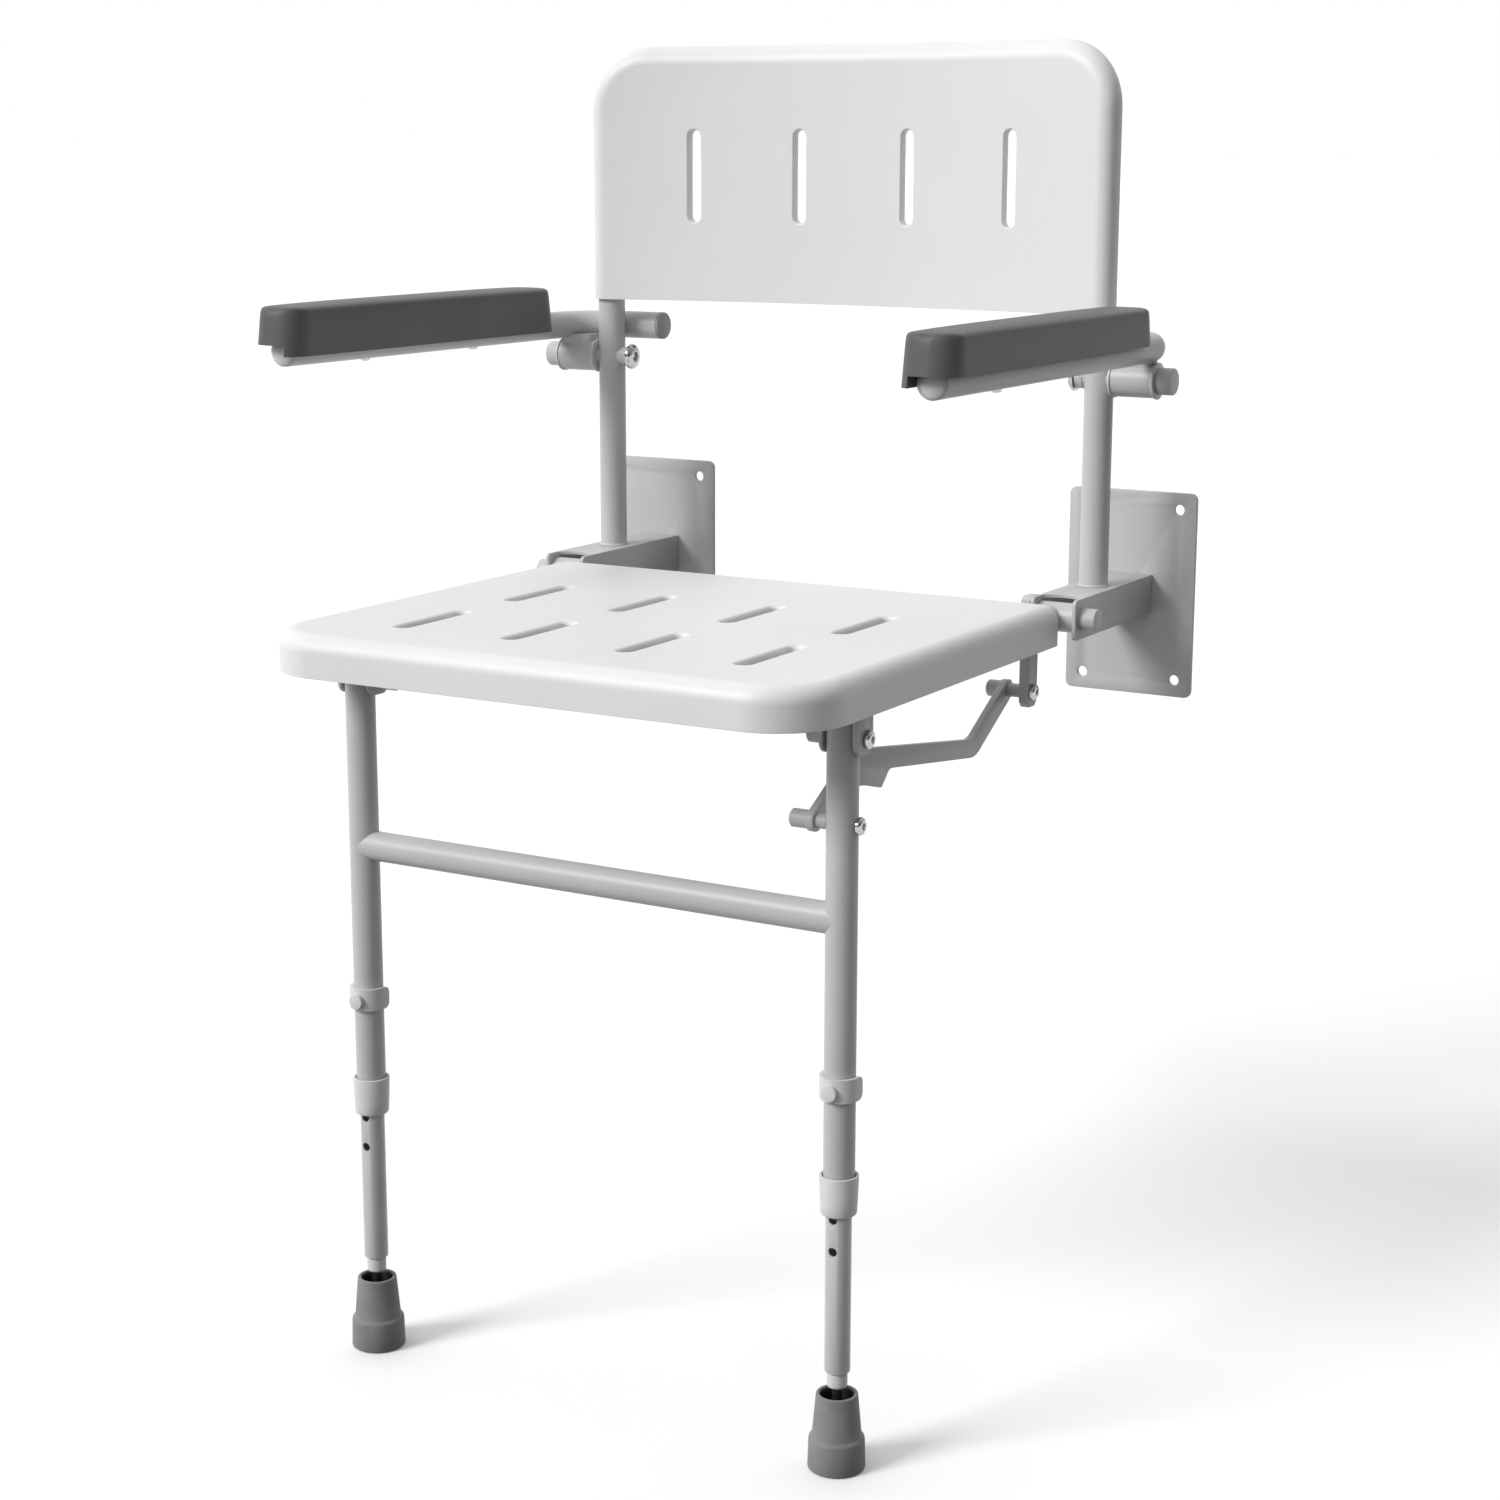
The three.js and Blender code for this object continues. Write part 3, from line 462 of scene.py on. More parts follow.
FOOT_PLACE = middle("inner_leg_right")
MATERIALS = {
    "frame_coat": powder_coat(),
    "white_moulding": white_moulding(),
    "pale_plastic": pale_plastic(),
    "arm_pad": soft_skin(),
    "ferrule": foot_rubber(),
    "chrome_screw": bright_chrome(),
    "end_cap": cap_plastic(),
}
SLIDING_COAT = sliding_coat()
SPIGOT_PLASTIC = spigot_plastic()


# ---- putting a piece in service ----


def enter(piece, name, body, slot, *nodes, material=None):
    """Names the piece, gives it its finish and its body, and stands it for its CAD nodes."""
    piece.name = name
    piece.data.name = name
    piece.data.materials.clear()
    piece.data.materials.append(material or MATERIALS[slot])
    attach(piece, body)
    if nodes:
        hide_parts(*nodes)
    return piece


def mirror_copy(piece):
    clear_selection()
    twin = piece.copy()
    twin.data = piece.data.copy()
    bpy.context.scene.collection.objects.link(twin)
    twin.scale.x = -1
    settle_mesh(twin)
    face_out(twin)
    smooth(twin)
    return twin


def enter_pair(piece, name, body, slot, node=None, material=None, own_body=False):
    """Enters the right-hand piece and its mirror copy; own_body says that each side has a body of its own."""
    twin = mirror_copy(piece)
    for side, each in (("right", piece), ("left", twin)):
        nodes = [f"{node}_{side}"] if node else []
        enter(each, f"{name}_{side}", f"{body}_{side}" if own_body else body, slot, *nodes, material=material)
    return piece, twin


# ---- moulded shells ----

SLOT_LIP = 2.4  # thickness of the lip round a slot


def slot_block(x, y, length, width, low, high):
    """An upright block with round ends, its length along Y."""
    half = width / 2
    piece = block(x - half, x + half, y - length / 2, y + length / 2, low, high)
    with editing(piece):
        pick_edges(piece, lambda a, b: abs(a.z - b.z) > 1)
        bpy.ops.mesh.bevel(offset=(half - 0.02) * MM, segments=10)
    face_out(piece)
    return piece


def slice_across(places, axis):
    """In edit mode, adds a ring of edges round the piece at each place along the axis."""
    for place in places:
        bpy.ops.mesh.select_all(action="SELECT")
        bpy.ops.mesh.bisect(plane_co=tuple(place * MM * share for share in axis), plane_no=axis)


def joined(pieces):
    choose(pieces[0])
    for piece in pieces:
        piece.select_set(True)
    bpy.ops.object.join()
    return bpy.context.object


def moulded_shell(half_width, far, near, depth, corner, roll, wall, slots, slot_size, lip_depth, slot_rim):
    """A shell face up at z = 0: round corners and rolled edges at y = far, cut square and open at y = near.

    Each slot has a lip that hangs lip_depth below the face, and its upper edge is rounded by slot_rim.
    """
    beyond = near + math.copysign(120, near - far)
    low, high = sorted((far, beyond))
    piece = block(-half_width, half_width, low, high, -depth - 60, 0)
    with editing(piece):
        pick_edges(piece, lambda a, b: abs(a.z - b.z) > 1 and abs(a.y - far) < 0.1)
        bpy.ops.mesh.bevel(offset=corner * MM, segments=18)
        pick_edges(piece, lambda a, b: abs(a.z) < 0.1 and abs(b.z) < 0.1 and not (
            abs(a.y - beyond) < 0.1 and abs(b.y - beyond) < 0.1))
        bpy.ops.mesh.bevel(offset=roll * MM, segments=10)
        bpy.ops.mesh.select_all(action="SELECT")
        bpy.ops.mesh.bisect(plane_co=(0, near * MM, 0), plane_no=(0, math.copysign(1, near - far), 0),
                            clear_outer=True, clear_inner=False)
        bpy.ops.mesh.select_all(action="SELECT")
        bpy.ops.mesh.bisect(plane_co=(0, 0, -depth * MM), plane_no=(0, 0, 1), clear_inner=True)
        bpy.ops.mesh.select_all(action="SELECT")
        bpy.ops.mesh.normals_make_consistent(inside=False)
    apply_modifier(piece, "SOLIDIFY", thickness=wall * MM, offset=-1, use_even_offset=True)
    face_out(piece)
    length, width = slot_size
    lips = joined([slot_block(x, y, length + 2 * SLOT_LIP, width + 2 * SLOT_LIP, -lip_depth, -wall / 2)
                   for x, y in slots])
    add_on(piece, lips)
    cut(piece, joined([slot_block(x, y, length, width, -lip_depth - 5, 5) for x, y in slots]))
    with editing(piece):
        bpy.ops.mesh.remove_doubles(threshold=0.005 * MM)

        def rim(a, b):
            if max(abs(a.z), abs(b.z)) > 0.02:
                return False
            return any(on_rim(a, x, y) and on_rim(b, x, y) for x, y in slots)

        def on_rim(p, x, y):
            u = abs(p.x - x)
            v = max(abs(p.y - y) - (length - width) / 2, 0)
            return abs(math.hypot(u, v) - width / 2) < 0.15

        pick_edges(piece, rim)
        bpy.ops.mesh.bevel(offset=slot_rim * MM, segments=5)
    return piece


def weighted(piece):
    smooth(piece, 40)
    apply_modifier(piece, "WEIGHTED_NORMAL", keep_sharp=True, weight=100)


# seat: the flat top is at the top of its node, and the far edge is its front
SEAT_LOW, SEAT_HIGH = span("seat_shell")
SEAT_CORNER = 56
SEAT_ROLL = 14
SEAT_WALL = 3
SEAT_SLOT_SIZE = (88, 12)
SEAT_SLOTS = [(x, y) for y in (-331, -479) for x in (-152, -51, 51, 152)]
SEAT_LIP_DEPTH = 6.5
SEAT_SLOT_RIM = 3.4


def make_seat():
    depth = SEAT_HIGH.z - SEAT_LOW.z
    piece = moulded_shell(SEAT_HIGH.x, SEAT_LOW.y, SEAT_HIGH.y, depth, SEAT_CORNER, SEAT_ROLL, SEAT_WALL,
                          SEAT_SLOTS, SEAT_SLOT_SIZE, SEAT_LIP_DEPTH, SEAT_SLOT_RIM)
    piece.location.z = SEAT_HIGH.z * MM
    settle_mesh(piece)
    with editing(piece):
        pick_edges(piece, lambda a, b: max(a.z, b.z) < SEAT_LOW.z + 0.1)
        bpy.ops.mesh.bevel(offset=0.7 * MM, segments=2)
    weighted(piece)
    enter(piece, "seat_moulding", "seat", "white_moulding", "seat_shell")


# back hoop: the arm axle passes through the post, which stands on the middle of the wall arm
POST_X = middle("wall_arm_right").x
POST_Y = middle("arm_axle_right").y
HOOP_LOW, HOOP_HIGH = span("back_hoop")
HOOP_X, HOOP_Y = 231, -82  # the tube inside the panel
HOOP_LOW_STEP, HOOP_HIGH_STEP = 240, 265  # where it steps in
HOOP_BEND = 42
HOOP_GAP = 1.1  # between the run across and the panel

# backrest: made flat, stood up, and then bent hollow to the front
BACK_LOW, BACK_HIGH = span("backrest")
BACK_BEND_R = 960
BACK_CROWN_Y = -71.5  # its front face at the middle
BACK_SLOT_SIZE = (80, 12)
BACK_SLOT_XS = (-152, -52, 52, 152)
BACK_SLOT_Z = 348.5
BACK_DEPTH = 20
BACK_CORNER = 54
BACK_ROLL = 16
BACK_WALL = 3.5
BACK_LIP_DEPTH = 9
BACK_SLOT_RIM = 1.3
BEND_STRIP = 12  # width of the strips that the panel is cut into, so that it bends evenly


def hollow(x):
    """How far forward of its middle the bent panel stands at x."""
    return -x * x / (2 * BACK_BEND_R)


def make_backrest():
    slots = [(x, BACK_SLOT_Z) for x in BACK_SLOT_XS]
    piece = moulded_shell(BACK_HIGH.x, BACK_HIGH.z, BACK_LOW.z, BACK_DEPTH, BACK_CORNER, BACK_ROLL, BACK_WALL,
                          slots, BACK_SLOT_SIZE, BACK_LIP_DEPTH, BACK_SLOT_RIM)
    strips = int(2 * BACK_HIGH.x / BEND_STRIP)
    with editing(piece):
        slice_across([-BACK_HIGH.x + 2 * BACK_HIGH.x * i / strips for i in range(1, strips)], (1, 0, 0))
    piece.rotation_euler.x = math.pi / 2
    settle_mesh(piece)
    for vertex in piece.data.vertices:
        vertex.co.y += (BACK_CROWN_Y + hollow(vertex.co.x / MM)) * MM
    low, high = BACK_LOW.z - 10, HOOP_HIGH_STEP + 1
    posts = [(side * POST_X, POST_Y, 0) for side in (-1, 1)]
    cut(piece, *[bar("Z", low, high, TUBE_R + 2 * AIR, post, ROUND) for post in posts])
    weighted(piece)
    enter(piece, "back_moulding", "wall_frame", "white_moulding", "backrest")


# ---- back frame ----

STEP_POINTS = 8
BEND_POINTS = 12


def ease(t):
    """0 at 0 and 1 at 1, level at both ends."""
    return t * t * (3 - 2 * t)


def make_back_frame():
    """One bent tube: up a post, a small step in behind the panel, across behind its top, and down again."""
    top = HOOP_HIGH.z - TUBE_R
    crown = BACK_CROWN_Y + BACK_WALL + TUBE_R + HOOP_GAP  # middle of the run across
    step = []
    for i in range(STEP_POINTS + 1):
        t = i / STEP_POINTS
        x = POST_X + (HOOP_X - POST_X) * ease(t)
        y = POST_Y + (HOOP_Y - POST_Y) * ease(t)
        step.append((x, y, HOOP_LOW_STEP + (HOOP_HIGH_STEP - HOOP_LOW_STEP) * t))
    corner = []
    for i in range(BEND_POINTS + 1):
        t = i / BEND_POINTS
        turn = math.radians(90 * t)
        x = HOOP_X - HOOP_BEND + HOOP_BEND * math.cos(turn)
        y = HOOP_Y + ease(t) * (crown + hollow(HOOP_X - HOOP_BEND) - HOOP_Y)
        corner.append((x, y, top - HOOP_BEND + HOOP_BEND * math.sin(turn)))
    across = [(x, crown + hollow(x), top) for x in [(HOOP_X - HOOP_BEND) * i / 6 for i in range(5, 0, -1)]]
    half = [(POST_X, POST_Y, HOOP_LOW.z)] + step + corner + across
    route = half + [(0, crown, top)] + [(-x, y, z) for x, y, z in reversed(half)]
    piece = bent_tube(route, TUBE_R)
    smooth(piece)
    enter(piece, "back_frame_tube", "wall_frame", "frame_coat", "back_hoop")
    foot = HOOP_LOW.z
    weld = turned([(foot, TUBE_R + 1.5), (foot + 0.6, TUBE_R + 1.2), (foot + 1.2, TUBE_R + 0.6),
                   (foot + 1.9, TUBE_R + 0.15), (foot, TUBE_R + 0.1), (foot, TUBE_R + 1.5)], "Z",
                  (POST_X, POST_Y, 0), ROUND, ring=True)
    smooth(weld, 50)
    enter_pair(weld, "post_weld", "wall_frame", "frame_coat")


# ---- wall brackets ----

PLATE_LOW, PLATE_HIGH = span("wall_plate_right")
PLATE_HOLES = (85, 147)
PLATE_HOLE_R = 4.5
HINGE = middle("hinge_pin_right")


def make_wall_brackets():
    centre = (PLATE_LOW + PLATE_HIGH) / 2
    piece = block(PLATE_LOW.x, PLATE_HIGH.x, PLATE_LOW.y, PLATE_HIGH.y, PLATE_LOW.z, PLATE_HIGH.z)
    with editing(piece):
        pick_edges(piece, lambda a, b: abs(a.y - b.y) > 1)
        bpy.ops.mesh.bevel(offset=6 * MM, segments=8)
    across, up = PLATE_HOLES
    cut(piece, *[bar("Y", -20, 20, PLATE_HOLE_R, (centre.x + sx * across / 2, 0, centre.z + sz * up / 2))
                 for sx in (-1, 1) for sz in (-1, 1)])
    soften(piece, 0.45, 2, 50)
    enter_pair(piece, "mounting_plate", "wall_frame", "frame_coat", "wall_plate")

    piece = from_frame("wall_arm_right")
    soften(piece, 0.6, 3, 25)
    enter_pair(piece, "channel_arm", "wall_frame", "frame_coat", "wall_arm")

    low, high = span("hinge_pin_right")
    piece = bar("X", low.x, high.x, 9, HINGE, ROUND)
    soften(piece, 0.8)
    enter_pair(piece, "hinge_spindle", "wall_frame", "frame_coat", "hinge_pin")

    piece = from_frame("drop_bar")
    soften(piece, 0.6, 3, 25)
    enter(piece, "drop_lug", "wall_frame", "frame_coat", "drop_bar")


# ---- bolts and studs ----

SHANK_R = 4
BOLT_HEAD_R = 6.8
BOLT_HEAD_HEIGHT = 4.4
ARM_HEAD_R = 11
ARM_HEAD_HEIGHT = 5.2


def button_bolt(node, seat, head_r, head_height, way=1):
    """Button-head bolt on an X axis with a hexagon socket; its head stands that way along X from x = seat."""
    low, high = span(node)
    centre = (low + high) / 2
    tip = low.x if way > 0 else high.x
    outline = [(tip, SHANK_R), (seat, SHANK_R), (seat, head_r - 0.5), (seat + way * 0.5, head_r),
               (seat + way * head_height * 0.4, head_r)]
    for i in range(1, 7):
        turn = math.radians(15 * i)
        outline.append((seat + way * head_height * (0.4 + 0.6 * math.sin(turn)),
                        head_r * (0.42 + 0.58 * math.cos(turn))))
    piece = turned(outline, "X", centre)
    face = seat + way * head_height
    ends = sorted((face - way * head_height * 0.55, face + way * 3))
    cut(piece, bar("X", *ends, head_r * 0.44, centre, 6))
    soften(piece, 0.12, 2, 50)
    return piece


def leg_size_bolt(node):
    _, high = span(node)
    return button_bolt(node, high.x - BOLT_HEAD_HEIGHT, BOLT_HEAD_R, BOLT_HEAD_HEIGHT)


def make_bolts():
    for node, name, body in (("link_rear_screw", "rear_link_bolt", "wall_frame"),
                             ("link_front_screw", "front_link_bolt", "front_legs")):
        enter(leg_size_bolt(node), name, body, "chrome_screw", node)
    enter_pair(leg_size_bolt("leg_pivot_screw_right"), "leg_bolt", "seat", "chrome_screw", "leg_pivot_screw")
    low, _ = span("arm_axle_screw_right")
    piece = button_bolt("arm_axle_screw_right", low.x + ARM_HEAD_HEIGHT, ARM_HEAD_R, ARM_HEAD_HEIGHT, -1)
    enter_pair(piece, "arm_bolt", "wall_frame", "chrome_screw", "arm_axle_screw")


def stud(node, stub_length, spacer):
    """Shouldered stud: a thick chamfered stub inboard, a thin shaft, and a spacer on it where it has one."""
    low, high = span(node)
    shoulder = low.x + stub_length
    outline = [(low.x, 5.6), (low.x + 1.3, 7), (shoulder - 0.5, 7), (shoulder, 6.5), (shoulder, SHANK_R)]
    if spacer:
        start, end = spacer
        outline += [(start, SHANK_R), (start, 5.4), (start + 0.3, 5.7), (end - 0.3, 5.7), (end, 5.4),
                    (end, SHANK_R)]
    outline.append((high.x, SHANK_R))
    piece = turned(outline, "X", (low + high) / 2)
    smooth(piece)
    return piece


def make_studs():
    link_face = span("fold_link")[1].x + AIR
    lug_face = span("drop_bar")[0].x - AIR
    leg_face = span("outer_leg_right")[0].x - AIR
    enter(stud("link_rear_pin", 12.5, (link_face, lug_face)), "rear_link_stud", "wall_frame", "frame_coat",
          "link_rear_pin")
    enter(stud("link_front_pin", 15, (link_face, leg_face)), "front_link_stud", "front_legs", "frame_coat",
          "link_front_pin")
    ear = span("leg_bracket_right")[0].x - AIR
    enter_pair(stud("leg_pivot_pin_right", ear - span("leg_pivot_pin_right")[0].x, None), "leg_stud", "seat",
               "frame_coat", "leg_pivot_pin")


# ---- seat frame ----

RAIL_R = 10
HINGE_SLEEVE_R = 12
HINGE_SLEEVE_BORE = 9.3
HINGE_SLEEVE_HALF = 16.7  # half of its length


def make_seat_frame():
    low, _ = span("seat_rail_right")
    rail_place = (low.x + RAIL_R, 0, middle("seat_cross_tube_rear").z)
    rail = bar("Y", low.y, HINGE.y - 2, RAIL_R, rail_place, ROUND)
    sleeve_low = POST_X - HINGE_SLEEVE_HALF
    sleeve_high = POST_X + HINGE_SLEEVE_HALF
    sleeve = tube("X", sleeve_low, sleeve_high, HINGE_SLEEVE_R, HINGE_SLEEVE_BORE, HINGE)
    past = 20  # how far a cutting tool runs past the sleeve
    cut(rail, bar("X", sleeve_low - past, sleeve_high + past, 10.5, HINGE, ROUND))
    add_on(sleeve, rail)
    weld = turned([(HINGE.y - 16.5, 9.9), (HINGE.y - 14.5, 10.6), (HINGE.y - 12.5, 11.6),
                   (HINGE.y - 10.6, 12.3), (HINGE.y - 9, 11.2)], "Y", rail_place, ROUND)
    cut(weld, bar("X", sleeve_low - past, sleeve_high + past, 11, HINGE, ROUND),
        block(sleeve_high, sleeve_high + past, -400, 0, -30, 30),
        block(sleeve_low - past, sleeve_low, -400, 0, -30, 30))
    add_on(sleeve, weld)
    smooth(sleeve, 45)
    enter_pair(sleeve, "side_rail", "seat", "frame_coat", "seat_rail")
    for place in ("rear", "front"):
        low, high = span(f"seat_cross_tube_{place}")
        piece = bar("X", low.x, high.x, 9, (low + high) / 2, ROUND)
        soften(piece, 0.5)
        enter(piece, f"seat_bearer_{place}", "seat", "frame_coat", f"seat_cross_tube_{place}")
    piece = from_frame("leg_bracket_right")
    soften(piece, 0.5, 3, 25)
    enter_pair(piece, "leg_hanger", "seat", "frame_coat", "leg_bracket")


# ---- folding legs ----

LEG_CENTRE = (middle("inner_leg_right").x, middle("inner_leg_right").y, 0)


def make_legs():
    low, high = span("outer_leg_right")
    piece = tube("Z", low.z, high.z, TUBE_R, 10.3, LEG_CENTRE)
    soften(piece, 0.4)
    enter_pair(piece, "leg_sleeve", "front_legs", "frame_coat", "outer_leg")

    low, high = span("leg_crossbar")
    centre = (low + high) / 2
    bar_end = LEG_CENTRE[0] - 1
    piece = bar("X", -bar_end, bar_end, TUBE_R, centre, ROUND)
    legs = [(side * LEG_CENTRE[0], LEG_CENTRE[1], 0) for side in (-1, 1)]
    cut(piece, *[bar("Z", centre.z - 60, centre.z + 60, TUBE_R + 0.05, leg, ROUND) for leg in legs])
    smooth(piece)
    enter(piece, "leg_tie_tube", "front_legs", "frame_coat", "leg_crossbar")

    low, high = span("leg_collar_right")
    top, foot = high.z, low.z
    outline = [(foot, 10.5), (foot, 12.6), (foot + 0.5, 13.3), (foot + 1.6, 13.8), (foot + 9, 14.2),
               (top - 1.2, 15), (top - 0.3, 14.9), (top, 14.4), (top, 13.3), (top - 1, 12.8),
               (top - 9, 12.4), (foot + 5.6, 12.4), (foot + 5.6, 10.5), (foot, 10.5)]
    piece = turned(outline, "Z", LEG_CENTRE, ROUND, ring=True)
    smooth(piece)
    enter_pair(piece, "leg_ring", "front_legs", "pale_plastic", "leg_collar")


HOLE_PITCH = 25.4
LEG_HOLE_R = 3.6
CLIP_Z = -305
CLIP_R = 15.4
CLIP_BORE = 12.3
CLIP_BUTTON_R = 6.4
CLIP_PIN_R = 3.2


def make_leg_extensions():
    low, high = span("inner_leg_right")
    piece = tube("Z", low.z, high.z, 9.9, 8.0, LEG_CENTRE)
    x, y, _ = LEG_CENTRE
    cut(piece, *[bar("Y", y - 20, y, LEG_HOLE_R, (x, 0, CLIP_Z - i * HOLE_PITCH)) for i in range(-1, 6)])
    soften(piece, 0.25, 2, 50)
    enter_pair(piece, "leg_extension", "foot_leg", "frame_coat", "inner_leg", SLIDING_COAT, own_body=True)

    low, high = span("leg_plug_right")
    neck = span("inner_leg_right")[0].z - 0.4
    outline = [(low.z, 3.6), (low.z + 0.4, 3.9), (PLUG_NECK_Z, 3.9), (PLUG_NECK_Z, 6.4),
               (PLUG_NECK_Z + 0.5, 7.3), (PLUG_NECK_Z + 1.6, 7.8), (PLUG_NECK_Z + 2.6, 7.9),
               (neck - 2.5, 7.9), (neck - 2.2, 7.3), (neck - 0.3, 7.3), (neck, 7.7), (high.z, 7.7)]
    piece = turned(outline, "Z", LEG_CENTRE)
    smooth(piece)
    enter_pair(piece, "foot_spigot", "foot_leg", "pale_plastic", "leg_plug", SPIGOT_PLASTIC, own_body=True)

    low, high = span("ferrule_right")
    floor, mouth = low.z, high.z
    outline = [(floor, 21.1), (floor + 0.5, 21.8), (floor + 1.5, 22.2), (floor + 23, 21.6),
               (floor + 24.6, 21.2), (floor + 25.6, 20.2), (floor + 26, 19.6), (floor + 27.2, 19.0),
               (mouth - 3, 16.3), (mouth - 1, 16.1), (mouth - 0.3, 15.8), (mouth, 15.2), (mouth, 13.9),
               (mouth - 0.6, 13.2), (mouth - 2, 12.9), (mouth - 25.4, 11.3), (mouth - 25.4, 4.4),
               (mouth - 39.2, 4.4)]
    piece = turned(outline, "Z", LEG_CENTRE, ROUND)
    tread = [tube("Z", floor - 1, floor + 1.6, r, r - 2, LEG_CENTRE, SMALL_ROUND) for r in (9, 14, 18.4)]
    cut(piece, *tread)
    smooth(piece)
    enter_pair(piece, "rubber_foot", "foot_leg", "ferrule", "ferrule", own_body=True)


def make_snap_clips():
    """A band with two prongs open at the back, a round button in front and the pin behind it."""
    low, high = span("height_clip_right")
    x, y, _ = LEG_CENTRE
    outer, inner = CLIP_R, CLIP_BORE
    band = tube("Z", low.z, high.z, outer, inner, LEG_CENTRE)
    cut(band, block(x - 20, x + 20, y, y + 30, low.z - 5, high.z + 5))
    for side in (-1, 1):
        edges = sorted((x + side * inner, x + side * outer))
        prong = block(*edges, y - 0.05, high.y, low.z, high.z)
        with editing(prong):
            pick_edges(prong, lambda a, b: abs(a.x - b.x) > 1 and a.y > y + 2 and b.y > y + 2)
            bpy.ops.mesh.bevel(offset=5 * MM, segments=3)
        add_on(band, prong)
    rim = CLIP_BUTTON_R
    button = turned([(-inner - 0.4, rim - 0.6), (-outer + 0.4, rim - 0.1), (-outer - 2.5, rim - 0.1),
                     (-outer - 3.0, rim - 0.4), (-outer - 3.2, rim - 1)], "Y", (x, 0, CLIP_Z))
    button.location.y = y * MM
    settle_mesh(button)
    pin = bar("Y", y - outer + 1, y - 5.9, CLIP_PIN_R, (x, 0, CLIP_Z))
    add_on(band, button, pin)
    soften(band, 0.4, 2, 40)
    enter_pair(band, "snap_clip", "clip", "pale_plastic", "height_clip", own_body=True)


# ---- folding link ----

LINK_REAR = middle("link_rear_pin")
LINK_FRONT = middle("link_front_pin")
EYE_R = 8.5


def make_link():
    """Flat cranked bar: an eye at each end, a dip behind and a deep heel behind the leg."""
    low, high = span("fold_link")
    rear = arc(LINK_REAR.y, LINK_REAR.z, EYE_R, -58, 122, 20)
    front = arc(LINK_FRONT.y, LINK_FRONT.z, EYE_R, 128, 296, 20)
    dip_top = arc(-231.6, -70.3, 22, -52, -98, 8)
    shoulder = arc(-425, -91, 27, 82, 136, 8)
    heel = [(-462, -97), (-430, -91), (-412, -94), (-386, -101)]
    notch = arc(-369.5, -98.5, 9.5, 146, 84, 6)
    dip_low = arc(-226.5, -80.5, 27.6, 261, 306, 8)
    outline = rear + dip_top + shoulder + front + heel + notch + dip_low
    piece = plate(outline, low.x, high.x)
    soften(piece, 0.5, 2, 30)
    enter(piece, "folding_strut", "link", "frame_coat", "fold_link")


# ---- lift-up arms ----

ARM_X = 285
ARM_Z = 215.5
ARM_BACK_Y = -60
ARM_BEND = 40
SLEEVE_R = 14
BUSH_FLANGE = 2  # thickness of a bush's flange
PAD_SCREW_YS = {"front": -385, "rear": -235}


